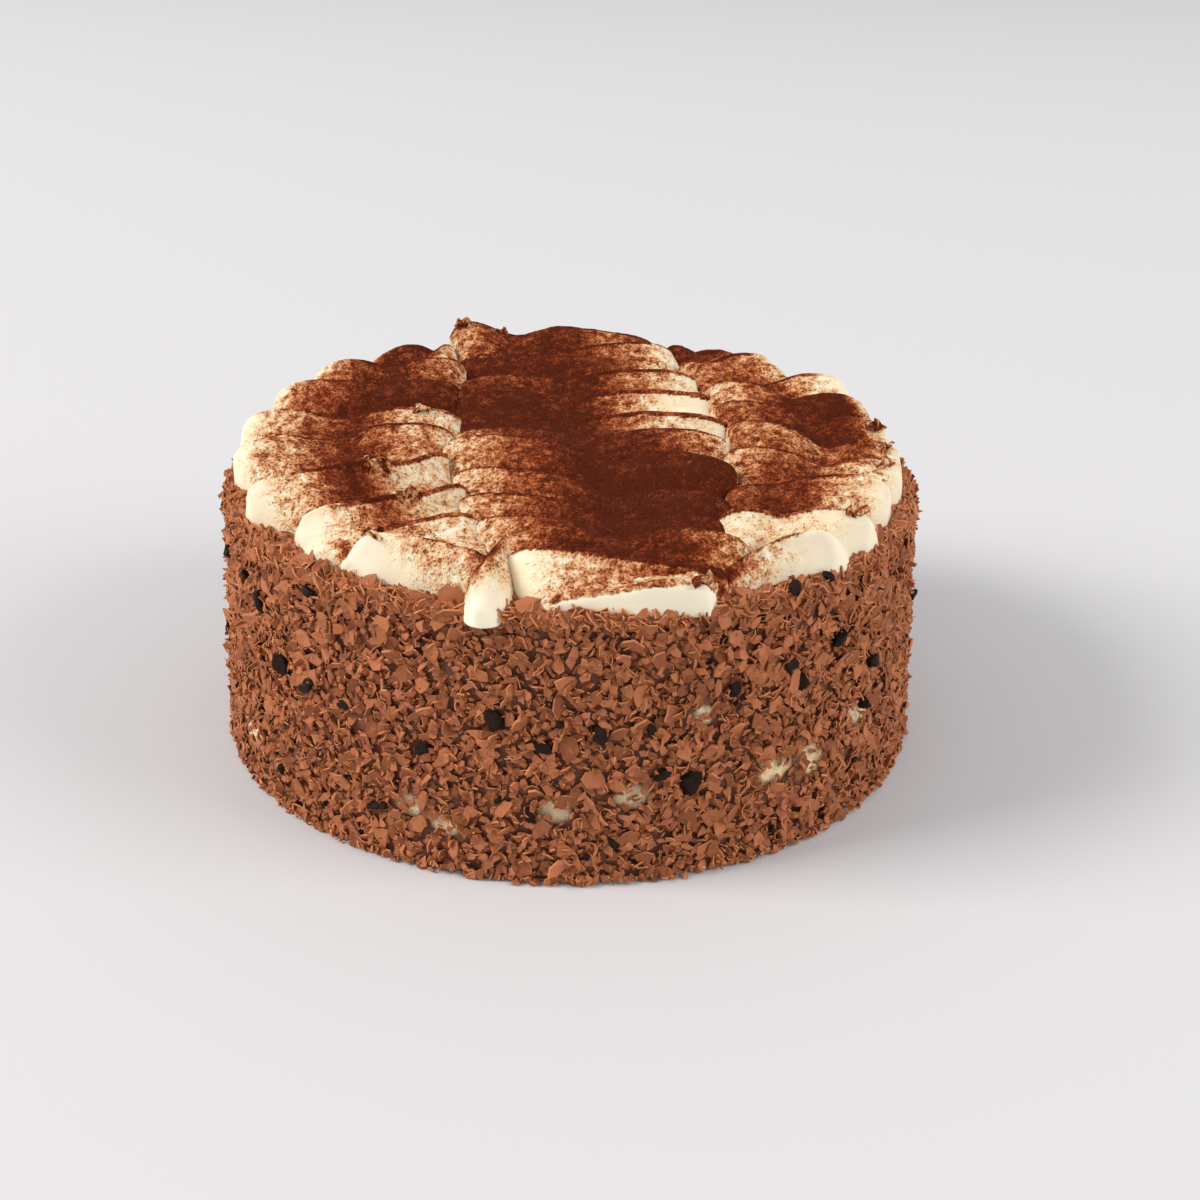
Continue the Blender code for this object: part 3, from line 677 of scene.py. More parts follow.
def flakes(name, template, places, rng, length, width, thickness, bend, lean, jitter):
    """Many flakes as one mesh: each a thin closed plate, askew on the surface under it."""
    outline, template_faces = template
    centres, outs = places
    count = len(centres)
    corners = len(outline)
    lengths = rng.uniform(*length, count)
    widths = lengths * rng.uniform(*width, count)
    thicknesses = rng.uniform(*thickness, count)
    bends = lengths * rng.uniform(*bend, count) * rng.choice((-1.0, 1.0), count)
    uneven = 1.0 + rng.uniform(-jitter, jitter, (count, corners, 2))
    shift = rng.uniform(-jitter, jitter, (count, corners, 2)) * CORNER_SHIFT
    local = outline[None] * uneven + shift * np.abs(outline).max()
    local = local * np.stack([lengths, widths], axis=1)[:, None]
    rise = bends[:, None] * (4.0 * (local[:, :, 0] / lengths[:, None]) ** 2 - MIDDLE_RISE)
    rise += CROSS_BEND * bends[:, None] * (local[:, :, 1] / widths[:, None])
    # Axes of each flake: a leant outward direction and two more at right angles to it
    tangents = np.cross(np.array([0.0, 0.0, 1.0]), outs)
    tangents /= np.linalg.norm(tangents, axis=1)[:, None]
    ups = np.cross(outs, tangents)
    heading = rng.uniform(0.0, 2.0 * math.pi, count)[:, None]
    leans = np.radians(rng.uniform(*lean, count))[:, None]
    sideways = tangents * np.cos(heading) + ups * np.sin(heading)
    facing = outs * np.cos(leans) + sideways * np.sin(leans)
    across = np.cross(facing, sideways)
    across /= np.linalg.norm(across, axis=1)[:, None]
    along = np.cross(across, facing)
    spin = rng.uniform(0.0, 2.0 * math.pi, count)[:, None]
    first = along * np.cos(spin) + across * np.sin(spin)
    second = np.cross(facing, first)
    points = np.empty((count, 2 * corners, 3))
    for side, sign in ((0, 0.5), (1, -0.5)):
        height = rise + sign * thicknesses[:, None]
        points[:, side * corners:(side + 1) * corners] = (
            centres[:, None]
            + local[:, :, 0:1] * first[:, None]
            + local[:, :, 1:2] * second[:, None]
            + height[:, :, None] * facing[:, None]
        )
    points[:, :, 2] = np.maximum(points[:, :, 2], OVER_FLOOR)
    faces = []
    for index in range(count):
        start = index * 2 * corners
        faces.extend(tuple(start + corner for corner in face) for face in template_faces)
    mesh = bpy.data.meshes.new(name)
    mesh.from_pydata(points.reshape(-1, 3), [], faces)
    give_numbers(mesh, "tone", np.repeat(rng.uniform(0.0, 1.0, count), 2 * corners))
    sizes = np.array([len(face) for face in template_faces])
    # The side faces are marked for the paler edges, partly bloom and partly a painted highlight
    broken = np.ones(len(template_faces))
    upper_and_under = 2 if sizes[0] > 4 else 2 * (corners // 2 - 1)
    broken[:upper_and_under] = 0.0
    give_numbers(mesh, "broken", np.tile(broken, count), "FACE")
    return mesh


def chocolate_finish(coat):
    """Milk chocolate: dull faces, paler broken edges that are partly bloom and partly a painted highlight,
    and no two flakes quite alike.
    """
    finish = Finish("milk_chocolate", {"Roughness": 0.45, "Specular IOR Level": 0.12})
    place = finish.place()
    tone = finish.attribute("tone")
    bloom = finish.mottle(place, 0.0012, 3.0)
    dark = shade(coat.chocolate, 0.52)
    colour = finish.mix((tone * 0.75 + bloom * 0.5 - 0.12).held(), dark, PALE_CHOCOLATE)
    # Side faces mixed halfway to the pale edge colour: partly bloom, partly a painted highlight
    colour = finish.mix(finish.attribute("broken") * 0.5, colour, BROKEN_EDGE_AND_HIGHLIGHT)
    finish.feed_shader("Base Color", colour)
    finish.bump(bloom, 0.00012)
    return finish.material


class CAKE_OT_coat(Operator):
    """Cover the side and the rim with shards and curls of milk chocolate"""

    bl_idname = "cake.coat"
    bl_label = "Chocolate Flakes"

    def execute(self, context):
        coat = context.scene.cake_coat
        rng = np.random.default_rng(SEED)
        finish = chocolate_finish(coat)
        shard = shard_outline(5)
        wide_shard = shard_outline(7)
        curl = curl_outline()
        top = SIDE_HEIGHT - 0.0012
        # Each kind's name, form and places, then the limits of its length, of its width as a share of
        # that, and of its thickness, of its bend as a share of the length, and of its lean in degrees,
        # and the play of its corners
        kinds = (
            ("fine_shards", shard, side_places(coat.fine, rng, 0.0004, top, (-0.0004, 0.0010)),
             (0.0012, 0.0024), (0.40, 0.9), (0.00022, 0.00038), (0.02, 0.12), (5.0, 70.0), 0.36),
            ("medium_shards", shard, side_places(coat.medium, rng, 0.0012, top, (0.0000, 0.0014)),
             (0.0022, 0.0042), (0.35, 0.80), (0.00026, 0.00046), (0.03, 0.15), (0.0, 55.0), 0.38),
            ("curls", curl, side_places(coat.curls, rng, 0.0012, top, (0.0002, 0.0015)),
             (0.0022, 0.0044), (0.25, 0.60), (0.00024, 0.00040), (0.12, 0.40), (10.0, 75.0), 0.18),
            ("large_shards", wide_shard, side_places(coat.large, rng, 0.0040, top, (0.0006, 0.0014)),
             (0.0038, 0.0070), (0.5, 0.8), (0.0004, 0.0007), (0.03, 0.12), (0.0, 40.0), 0.36),
            ("ledge_shards", shard,
             rim_places(3200, rng, SIDE_HEIGHT - 0.0006, SIDE_HEIGHT + 0.0006, 0.0080),
             (0.0022, 0.0042), (0.4, 0.8), (0.0003, 0.0005), (0.02, 0.15), (0.0, 50.0), 0.36),
            ("rim_fine_shards", shard,
             rim_places(2600, rng, SIDE_HEIGHT - 0.0030, SIDE_HEIGHT + 0.0002),
             (0.0018, 0.0034), (0.5, 0.9), (0.0003, 0.0005), (0.02, 0.12), (5.0, 80.0), 0.25),
            ("rim_curls", curl, rim_places(1200, rng, SIDE_HEIGHT - 0.0030, SIDE_HEIGHT + 0.0002),
             (0.0028, 0.0052), (0.3, 0.7), (0.0003, 0.0005), (0.12, 0.4), (20.0, 85.0), 0.18),
            ("rim_large_shards", wide_shard,
             rim_places(150, rng, SIDE_HEIGHT - 0.0034, SIDE_HEIGHT + 0.0010),
             (0.0045, 0.0082), (0.5, 0.8), (0.0005, 0.0008), (0.03, 0.12), (0.0, 50.0), 0.25),
            ("foot_crumbs", shard, side_places(900, rng, 0.0002, 0.0022, (0.0002, 0.0020)),
             (0.0012, 0.0030), (0.5, 0.9), (0.0003, 0.0006), (0.02, 0.12), (0.0, 85.0), 0.25),
        )
        for name, template, places, length, width, thickness, bend, lean, jitter in kinds:
            mesh = flakes(name, template, places, rng, length, width, thickness, bend, lean, jitter)
            mesh.materials.append(finish)
            linked(name, mesh)
        return {"FINISHED"}


# Dark chunks

def rough_chunk(rng, size, fineness):
    """One broken lump: a ball cut by random planes."""
    bm = bmesh.new()
    bmesh.ops.create_icosphere(bm, subdivisions=fineness, radius=0.5)
    stretch = Vector((rng.uniform(0.8, 1.2), rng.uniform(0.5, 0.9), rng.uniform(0.45, 0.75)))
    planes = []
    for _ in range(CHUNK_CUTS):
        facing = Vector((rng.gauss(0, 1), rng.gauss(0, 1), rng.gauss(0, 1))).normalized()
        planes.append((facing, rng.uniform(*CHUNK_CUT_DEPTH)))
    shift = Vector((rng.uniform(-9, 9), rng.uniform(-9, 9), rng.uniform(-9, 9)))
    for vertex in bm.verts:
        for facing, reach in planes:
            over = vertex.co.dot(facing) - reach
            if over > 0.0:
                vertex.co -= facing * over
        vertex.co += vertex.co.normalized() * CHUNK_ROUGHNESS * noise.noise(vertex.co * 9.0 + shift)
        vertex.co = Vector([part * scale * size for part, scale in zip(vertex.co, stretch)])
    return bm


def chunk_places(rng):
    """Where the dark chunks sit: those that show from the front, and others spread over the rest."""
    places = list(FRONT_CHUNKS)
    first_turn, turns = BACK_CHUNK_TURNS
    first_height, heights = BACK_CHUNK_HEIGHTS
    for index in range(BACK_CHUNKS):
        height = first_height + heights * (index * GOLDEN_SHARE % 1.0)
        places.append((index * GOLDEN_TURN % turns + first_turn, height))
    for _ in range(SMALL_CHUNKS):
        places.append((rng.uniform(*SMALL_CHUNK_TURNS), rng.uniform(*SMALL_CHUNK_HEIGHTS)))
    return places


def chunks_mesh():
    """All the dark chunks as one mesh."""
    rng = random.Random(SEED)
    joined = bmesh.new()
    for index, (degrees, height) in enumerate(chunk_places(rng)):
        small = index >= len(FRONT_CHUNKS) + BACK_CHUNKS
        size = rng.uniform(*(SMALL_CHUNK_SIZE if small else CHUNK_SIZE))
        bm = rough_chunk(rng, size, 3 if index < len(FRONT_CHUNKS) else 2)
        turn = math.radians(degrees)
        z = height / 1000.0
        out = Vector((math.cos(turn), math.sin(turn), 0.0))
        spin = Matrix.Rotation(rng.uniform(0.0, 2.0 * math.pi), 4, "Z")
        tilt = Matrix.Rotation(rng.uniform(-CHUNK_TILT, CHUNK_TILT), 4, "X")
        place = Matrix.Translation(out * (side_radius(z) + CHUNK_PROUD) + Vector((0.0, 0.0, z)))
        bm.transform(place @ out.to_track_quat("Z", "Y").to_matrix().to_4x4() @ (spin @ tilt))
        lump = bpy.data.meshes.new("chunk")
        bm.to_mesh(lump)
        bm.free()
        joined.from_mesh(lump)
        bpy.data.meshes.remove(lump)
    mesh = bpy.data.meshes.new("dark_chunks")
    joined.to_mesh(mesh)
    joined.free()
    mesh.shade_smooth()
    mesh.set_sharp_from_angle(angle=math.radians(CHUNK_CREASE))
    return mesh


class CAKE_OT_chunks(Operator):
    """Press chunks of dark chocolate into the coat"""

    bl_idname = "cake.chunks"
    bl_label = "Dark Chunks"

    def execute(self, context):
        mesh = chunks_mesh()
        colour = context.scene.cake_coat.dark_chocolate
        finish = Finish("dark_chocolate", {"Specular IOR Level": 0.12})
        place = finish.place()
        grain = finish.mottle(place, 0.0012, 4.0, 0.6)
        finish.feed_shader("Base Color", finish.mix(grain, shade(colour, 0.5), shade(colour, 1.8)))
        finish.feed_shader("Roughness", finish.mottle(place, 0.002) * 0.3 + 0.45)
        finish.bump(grain, 0.0006)
        mesh.materials.append(finish.material)
        linked("dark_chunks", mesh)
        return {"FINISHED"}


# Piped cream

def seam(y, middle, back, front):
    """Where two bands meet: straight in the middle, and swung aside to the back and the front."""
    to_back = back[0] * (np.maximum(y, 0.0) / SEAM_REACH) ** back[1]
    to_front = front[0] * (np.maximum(-y, 0.0) / SEAM_REACH) ** front[1]
    return middle + to_back + to_front


def left_seam(y):
    """Where the left and the middle band meet."""
    return seam(y, LEFT_SEAM, LEFT_SEAM_BACK, LEFT_SEAM_FRONT)


def right_seam(y):
    """Where the middle and the right band meet."""
    return seam(y, RIGHT_SEAM, RIGHT_SEAM_BACK, RIGHT_SEAM_FRONT)


def disc_edges(y):
    """The cream's leftmost and rightmost place at a distance along the bands."""
    half = np.sqrt(np.maximum(CREAM_RADIUS**2 - (y - CREAM_CENTRE[1]) ** 2, 0.0))
    return CREAM_CENTRE[0] - half, CREAM_CENTRE[0] + half


def left_band(y, overlap):
    """The left band's two edges."""
    return disc_edges(y)[0], left_seam(y) + overlap


def middle_band(y, overlap):
    """The middle band's two edges."""
    left, right = disc_edges(y)
    return np.maximum(left_seam(y) - overlap, left), np.minimum(right_seam(y) + overlap, right)


def right_band(y, overlap):
    """The right band's two edges."""
    return right_seam(y) - overlap, disc_edges(y)[1]


def strip_band(y, overlap):
    """The edges of the low stroke along the middle band's front."""
    return STRIP_EDGES[0], np.minimum(STRIP_EDGES[1], right_seam(y) + overlap)


# How the two ends of a band's strokes are rounded: bulbs over the rim, cut ends at the seams
END_ROUNDINGS = {
    left_band: (BULB_ROUNDING, CUT_END_ROUNDING),
    middle_band: (CUT_END_ROUNDING, CUT_END_ROUNDING),
    right_band: (CUT_END_ROUNDING, BULB_ROUNDING),
    strip_band: (CUT_END_ROUNDING, CUT_END_ROUNDING),
}


def within_disc(x, y, radius):
    """Pull places that pass the cream's edge back to it."""
    from_centre = np.stack([x - CREAM_CENTRE[0], y - CREAM_CENTRE[1]])
    from_centre *= np.minimum(1.0, radius / np.hypot(*from_centre))
    return from_centre[0] + CREAM_CENTRE[0], from_centre[1] + CREAM_CENTRE[1]


def place_across(band, stroke, y, across, drawn_in, overlap):
    """The x of a place between a stroke's two ends; the foot of a bulb spreads out to the rim."""
    left, right = band(y, overlap)
    left = left + stroke.left_inset * MM * (drawn_in if band is left_band else 1.0)
    right = right - stroke.right_inset * MM * (drawn_in if band is right_band else 1.0)
    return left + (right - left) * across


def bulb_share(band, stroke, ridge_x, ridge_y):
    """How much a place on a ridge belongs to the round bulb at the outer end of its stroke."""
    left, right = disc_edges(ridge_y)
    if band is left_band:
        from_end = ridge_x - left - stroke.left_inset * MM
    elif band is right_band:
        from_end = right - stroke.right_inset * MM - ridge_x
    else:
        return 0.0
    return (1.0 - smooth_step(from_end, *BULB_REACH)) * smooth_step(ridge_y, *BULB_BEHIND)


def stroke_section(band, reach, stroke, across, inset, overlap):
    """The stroke's outline at one place across its band, from its front foot over the ridge to its back."""
    from_middle = abs(2.0 * across - 1.0)
    tall = (1.0 - from_middle**HEIGHT_ROUNDING) ** (1.0 / HEIGHT_ROUNDING)
    rounding = END_ROUNDINGS[band][0 if across < 0.5 else 1]
    long = (1.0 - from_middle**rounding) ** (1.0 / rounding)
    blend = across * across * (3.0 - 2.0 * across)
    lip = stroke.left_lip + (stroke.right_lip - stroke.left_lip) * blend
    bowed = stroke.bow * 4.0 * across * (1.0 - across)
    ridge_y = (stroke.left_y + (stroke.right_y - stroke.left_y) * across + bowed) * MM
    ridge_x = place_across(band, stroke, clamp(ridge_y, *reach), across, 1.0, overlap)
    valley = stroke.valley_depth * math.exp(-(((across - stroke.valley_place) / VALLEY_WIDTH) ** 2))
    crest = stroke.left_height + (stroke.right_height - stroke.left_height) * blend - valley
    height = crest * tall * MM
    bulb = bulb_share(band, stroke, ridge_x, ridge_y)
    front_y = CREAM_CENTRE[1] - math.sqrt(max(CREAM_RADIUS**2 - (ridge_x - CREAM_CENTRE[0]) ** 2, 0.0))
    face = min(FACE_LENGTH * (1.0 - BULB_SHORTER * bulb), ridge_y - front_y) * long
    back = BACK_LENGTH * (1.0 + lip + BULB_BACK[0] * bulb) * long
    forward = np.linspace(1.0, 0.0, FACE_POINTS) ** FACE_CROWDING
    fall = lip * (1.0 - (1.0 - forward) ** LIP_CURVE) + (1.0 - lip) * forward ** (FACE_CURVE + SHELF * lip)
    backward = np.linspace(0.0, 1.0, BACK_POINTS + 1)[1:]
    y = np.concatenate([ridge_y - face * forward, ridge_y + back * backward])
    down = backward ** (BACK_CURVE + BULB_BACK[1] * bulb)
    up = np.concatenate([height * (1.0 - fall), height * (1.0 - down)])
    y = np.concatenate([y[:1], y, y[-1:]])
    up = np.concatenate([[-CREAM_ROOT], up, [-CREAM_ROOT]])
    drawn_in = 1.0 - np.maximum(0.0, ridge_y - y) / FACE_LENGTH
    y = np.clip(y, reach[0] + inset, reach[1] - inset)
    x = place_across(band, stroke, y, across, drawn_in, overlap)
    x, y = within_disc(x, y, CREAM_RADIUS + BULB_SPREAD - inset)
    return np.stack([x, y, SIDE_HEIGHT + GAP - CREAM_SINK + up], axis=1)


def lofted(rings):
    """Points and faces of a closed loft through equal outlines."""
    count = len(rings[0])
    faces = []
    for index in range(len(rings) - 1):
        first = index * count
        second = first + count
        for corner in range(count):
            after = (corner + 1) % count
            faces.append((first + corner, first + after, second + after, second + corner))
    faces.append(tuple(range(count - 1, -1, -1)))
    faces.append(tuple(range((len(rings) - 1) * count, len(rings) * count)))
    return np.concatenate(rings), faces


def piped_stroke(place, band, reach, stroke):
    """One stroke as a closed loft, with the cocoa at each point."""
    shorter = place % 3
    low, high = SEAM_OVERLAP
    overlap = low + (high - low) * (place * GOLDEN_SHARE % 1.0)
    rings = []
    cocoa = []
    for index in range(STROKE_SECTIONS):
        turn = math.pi * index / (STROKE_SECTIONS - 1)
        across = 0.5 - 0.5 * math.cos(turn) * (1.0 - 2.0 * END_INSET * (1 + shorter))
        ring = stroke_section(band, reach, stroke, across, EDGE_STEP * shorter, overlap)
        rings.append(ring)
        lying = np.full(len(ring), np.interp(across, COCOA_KNOTS, stroke.cocoa))
        # Cocoa settles along the crest and behind it, but not on the bulbs over the rim
        from_end = 1.0
        if band is left_band:
            from_end = across
        elif band is right_band:
            from_end = 1.0 - across
        inner = clamp((from_end - CREST_FROM_END[0]) / CREST_FROM_END[1])
        lying *= BARE_END + (1.0 - BARE_END) * smooth_step(from_end, *BULB_COCOA)
        behind = slice(1 + FACE_POINTS - CREST_POINTS, None)
        crest = CREST_COCOA * (PALE_CREST + (1.0 - PALE_CREST) * smooth_step(lying[0], 0.25, 0.75))
        lying[behind] = np.maximum(lying[behind], crest * inner)
        if band is strip_band:
            lying[behind] = STRIP_CREST_COCOA
            lying[FACE_POINTS + 1:] = STRIP_BACK_COCOA
        # Less cocoa on the upper face just under the crest: partly thinner cocoa there, partly a painted
        # highlight along the crest
        upper = slice(FACE_POINTS - 3 * CREST_POINTS, FACE_POINTS - CREST_POINTS + 1)
        lying[upper] -= CREST_THINNING_AND_HIGHLIGHT
        cocoa.append(lying)
    return *lofted(rings), np.concatenate(cocoa)


def tail_stroke():
    """The short stroke that tapers to a point between the left and the middle band."""
    tip, middle, end = (np.array(place) for place in TAIL_PATH)
    across = np.linspace(-1.0, 1.0, TAIL_POINTS)
    side = (across - TAIL_RIDGE) / np.where(across < TAIL_RIDGE, 1.0 + TAIL_RIDGE, 1.0 - TAIL_RIDGE)
    crown = (1.0 - np.abs(side) ** TAIL_CROWN[0]) ** TAIL_CROWN[1]
    rings = []
    cocoa = []
    for share in np.linspace(TAIL_TIP, 1.0, TAIL_SECTIONS):
        centre = tip * (1.0 - share) ** 2 + middle * 2.0 * share * (1.0 - share) + end * share**2
        ahead = (middle - tip) * (1.0 - share) + (end - middle) * share
        ahead /= np.hypot(*ahead)
        width = TAIL_HALF_WIDTH * share**TAIL_TAPER
        width *= max(1.0 - share**TAIL_END_ROUNDING, TAIL_BLUNTNESS) ** (1.0 / TAIL_END_ROUNDING)
        height = TAIL_HEIGHTS[0] + (TAIL_HEIGHTS[1] - TAIL_HEIGHTS[0]) * share**2
        x = centre[0] - ahead[1] * width * across
        y = centre[1] + ahead[0] * width * across
        x, y = within_disc(x, y, CREAM_RADIUS + TAIL_SPREAD)
        up = height * crown
        x = np.concatenate([x[:1], x, x[-1:]])
        y = np.concatenate([y[:1], y, y[-1:]])
        up = np.concatenate([[-CREAM_ROOT], up, [-CREAM_ROOT]])
        rings.append(np.stack([x, y, SIDE_HEIGHT + GAP - CREAM_SINK + up], axis=1))
        dusted = clamp((TAIL_COCOA_END[0] - share) / TAIL_COCOA_END[1])
        lying = np.interp((across + 1.0) / 2.0, COCOA_KNOTS, TAIL_COCOA) * dusted
        cocoa.append(np.concatenate([lying[:1], lying, lying[-1:]]))
    return *lofted(rings), np.concatenate(cocoa)


def strokes_mesh(name, lofts):
    """All strokes of a band in one mesh, still overlapping, and a finder for the cocoa on them."""
    points = []
    faces = []
    cocoa = []
    start = 0
    for stroke_points, stroke_faces, stroke_cocoa in lofts:
        points.append(stroke_points)
        cocoa.append(stroke_cocoa)
        faces.extend(tuple(start + corner for corner in face) for face in stroke_faces)
        start += len(stroke_points)
    points = np.concatenate(points)
    cocoa = np.concatenate(cocoa)
    mesh = bpy.data.meshes.new(name)
    mesh.from_pydata(points, [], faces)
    bm = bmesh.new()
    bm.from_mesh(mesh)
    bmesh.ops.recalc_face_normals(bm, faces=bm.faces)
    bm.to_mesh(mesh)
    bm.free()
    finder = kdtree.KDTree(len(points))
    for index, point in enumerate(points):
        finder.insert(point, index)
    finder.balance()
    return mesh, finder, cocoa


def softened(mesh, points, share, rounds):
    """Points drawn several times towards the middle of their neighbours, each by its own share."""
    edges = np.empty(2 * len(mesh.edges), dtype=np.int32)
    mesh.edges.foreach_get("vertices", edges)
    first, second = edges.reshape(-1, 2).T
    count = np.bincount(edges, minlength=len(points))[:, None]
    for _ in range(rounds):
        total = np.stack([
            np.bincount(first, values[second], len(values)) + np.bincount(second, values[first], len(values))
            for values in points.T
        ], axis=1)
        points = points + 0.5 * share[:, None] * (total / np.maximum(count, 1) - points)
    return points


def cream_band(name, lofts, voxel):
    """A band: its strokes run into one skin, with the cocoa worked out over it."""
    mesh, finder, cocoa = strokes_mesh(name, lofts)
    cream = bpy.data.objects.new(name, mesh)
    bpy.context.scene.collection.objects.link(cream)
    remesh = cream.modifiers.new("one skin", "REMESH")
    remesh.mode = "VOXEL"
    remesh.voxel_size = voxel
    apply_modifiers(cream)
    mesh = cream.data
    bpy.data.objects.remove(cream, do_unlink=True)
    bm = bmesh.new()
    bm.from_mesh(mesh)
    cut = bmesh.ops.bisect_plane(
        bm, geom=bm.verts[:] + bm.edges[:] + bm.faces[:],
        plane_co=(0.0, 0.0, SIDE_HEIGHT - CUT_DEPTH), plane_no=(0.0, 0.0, -1.0), clear_outer=True,
    )
    rim = [item for item in cut["geom_cut"] if isinstance(item, bmesh.types.BMEdge)]
    bmesh.ops.holes_fill(bm, edges=rim, sides=0)
    bm.to_mesh(mesh)
    bm.free()
    points = points_of(mesh)
    outward = outward_of(mesh)
    lumps = np.array([waves(point, CREAM_LUMPS) for point in points])
    points += outward * lumps[:, None]
    # The cream spreads towards the rim and sags a little over it
    away = points[:, :2] - np.array(CREAM_CENTRE)
    distance = np.hypot(away[:, 0], away[:, 1])
    spread = RIM_SPREAD * smooth_step(distance, CREAM_RADIUS - RIM_REACH, CREAM_RADIUS)
    points[:, :2] += away / np.maximum(distance, 1e-6)[:, None] * spread[:, None]
    points[:, 2] -= RIM_SAG * smooth_step(distance + spread, TOP_RADIUS - RIM_EDGE, TOP_RADIUS + RIM_EDGE)
    near_rim = smooth_step(distance, CREAM_RADIUS - SOFT_RIM[0], CREAM_RADIUS - SOFT_RIM[1])
    points = softened(mesh, points, near_rim, RIM_SOFTENING)
    set_points(mesh, points)
    outward = outward_of(mesh)
    lying = STEEP_SHARE + (1.0 - STEEP_SHARE) * smooth_step(outward[:, 2], STEEP, LEVEL)
    nearest = np.array([cocoa[finder.find(point)[1]] for point in points])
    mesh.shade_smooth()
    give_numbers(mesh, "cocoa", nearest * lying)
    mesh.name = name
    return mesh


# Where torn points of cream stand: a stroke and a place across it
TORN_POINTS = 5
TORN_PLACES = (
    (middle_band, MIDDLE_REACH, MIDDLE_STROKES[0], 0.08),
    (middle_band, MIDDLE_REACH, MIDDLE_STROKES[0], 0.24),
    (left_band, LEFT_REACH, LEFT_STROKES[3], 0.84),
    (left_band, LEFT_REACH, LEFT_STROKES[5], 0.62),
    (left_band, LEFT_REACH, LEFT_STROKES[5], 0.72),
    (left_band, LEFT_REACH, LEFT_STROKES[6], 0.66),
    (left_band, LEFT_REACH, LEFT_STROKES[8], 0.10),
    (right_band, RIGHT_REACH, RIGHT_STROKES[4], 0.93),
    (right_band, RIGHT_REACH, RIGHT_STROKES[5], 0.92),
    (right_band, RIGHT_REACH, RIGHT_STROKES[6], 0.90),
    (right_band, RIGHT_REACH, RIGHT_STROKES[8], 0.90),
    (strip_band, MIDDLE_REACH, STRIP_STROKE, 0.94),
)


def cream_finish(settings):
    """Cream under cocoa: bare, freckled, veiled or hidden, by how thickly the cocoa lies."""
    finish = Finish("dusted_cream", {
        "Subsurface Weight": 0.12, "Subsurface Radius": (1.0, 0.7, 0.35), "Subsurface Scale": 0.003,
        "Specular IOR Level": 0.05,
    })
    place = finish.place()
    cocoa = finish.attribute("cocoa")
    drifts = finish.mottle(place, 0.0060, 3.0, 0.6)
    clumps = finish.mottle(place, 0.0022, 2.0, 0.5)
    grain = finish.mottle(place, 0.0007, 2.0, 0.7)
    play = (drifts - 0.5) * 0.9 + (clumps - 0.5) * 1.3 + (grain - 0.5) * 0.9
    thickness = (cocoa + play * cocoa.rise(0.02, 0.35) * (1.15 - cocoa * 0.85)).held()
    veil = finish.ramp(thickness, (
        (0.00, settings.cream),
        (0.14, FAINT_COCOA),
        (0.32, LIGHT_COCOA),
        (0.52, settings.thin_cocoa),
        (0.70, DENSE_COCOA),
        (0.88, settings.thick_cocoa),
        # Darker still where the cocoa is thickest: painted shade meant for the hollows
        (1.00, shade(settings.thick_cocoa, 0.85)),
    ))
    freckles = (grain + thickness * 0.32).rise(0.66, 0.74) * cocoa.rise(0.02, 0.12)
    # Small pits in the thick cocoa: sunk by the bump, and darkened as painted shade
    shaded_pits = (1.0 - finish.mottle(place, 0.0012, 1.0).rise(0.30, 0.36)) * thickness.rise(0.55, 0.80)
    colour = finish.mix(freckles * 0.55 + shaded_pits * 0.5, veil, FRECKLE_AND_PIT_SHADE)
    finish.feed_shader("Base Color", colour)
    finish.feed_shader("Roughness", thickness * 0.42 + 0.46)
    finish.bump(grain * thickness + clumps * thickness * 1.2 - shaded_pits * 0.8, 0.0010)
    return finish.material


def torn_edges(rng):
    """Small torn points of cream that stand on the crests where the nozzle was pulled away."""
    centres = []
    for band, reach, stroke, across in TORN_PLACES:
        ridge = stroke_section(band, reach, stroke, across, 0.0, 0.0)[FACE_POINTS]
        for _ in range(TORN_POINTS):
            centres.append(ridge + rng.uniform((-0.0022, -0.0022, -0.0010), (0.0022, 0.0010, 0.0004)))
    centres = np.array(centres)
    out = rng.uniform((-0.5, -1.0, 0.2), (0.5, -0.2, 1.0), (len(centres), 3))
    out /= np.linalg.norm(out, axis=1)[:, None]
    mesh = flakes(
        "torn_edges", shard_outline(7), (centres, out), rng,
        (0.0024, 0.0048), (0.4, 0.8), (0.0006, 0.0011), (0.05, 0.30), (10.0, 80.0), 0.36,
    )
    give_numbers(mesh, "cocoa", rng.uniform(0.1, 0.9, len(mesh.vertices)))
    return mesh


class CAKE_OT_cream(Operator):
    """Pipe the three bands of cream and dust them with cocoa"""

    bl_idname = "cake.cream"
    bl_label = "Piped Cream"

    def execute(self, context):
        settings = context.scene.cake_cream
        bands = (
            ("left", left_band, LEFT_REACH, LEFT_STROKES, [tail_stroke()]),
            ("middle", middle_band, MIDDLE_REACH, MIDDLE_STROKES,
             [piped_stroke(0, strip_band, MIDDLE_REACH, STRIP_STROKE)]),
            ("right", right_band, RIGHT_REACH, RIGHT_STROKES, []),
        )
        finish = cream_finish(settings)
        for side, band, reach, strokes, last in bands:
            lofts = [piped_stroke(place, band, reach, stroke) for place, stroke in enumerate(strokes)]
            mesh = cream_band("piped_cream_" + side, lofts + last, settings.voxel)
            mesh.materials.clear()
            mesh.materials.append(finish)
            piece = linked("piped_cream_" + side, mesh)
            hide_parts("cream_band_" + side)
        mesh = torn_edges(np.random.default_rng(SEED))
        mesh.materials.append(finish)
        linked("torn_edges", mesh)
        return {"FINISHED"}


# Studio

def area_light(name, place, target, size, power, colour):
    """A soft rectangular light aimed at a point."""
    light = bpy.data.lights.new(name, "AREA")
    light.shape = "RECTANGLE"
    light.size, light.size_y = size
    light.energy = power
    light.color = colour
    lamp = bpy.data.objects.new(name, light)
    bpy.context.scene.collection.objects.link(lamp)
    lamp.location = place
    lamp.rotation_euler = (Vector(target) - Vector(place)).to_track_quat("-Z", "Y").to_euler()


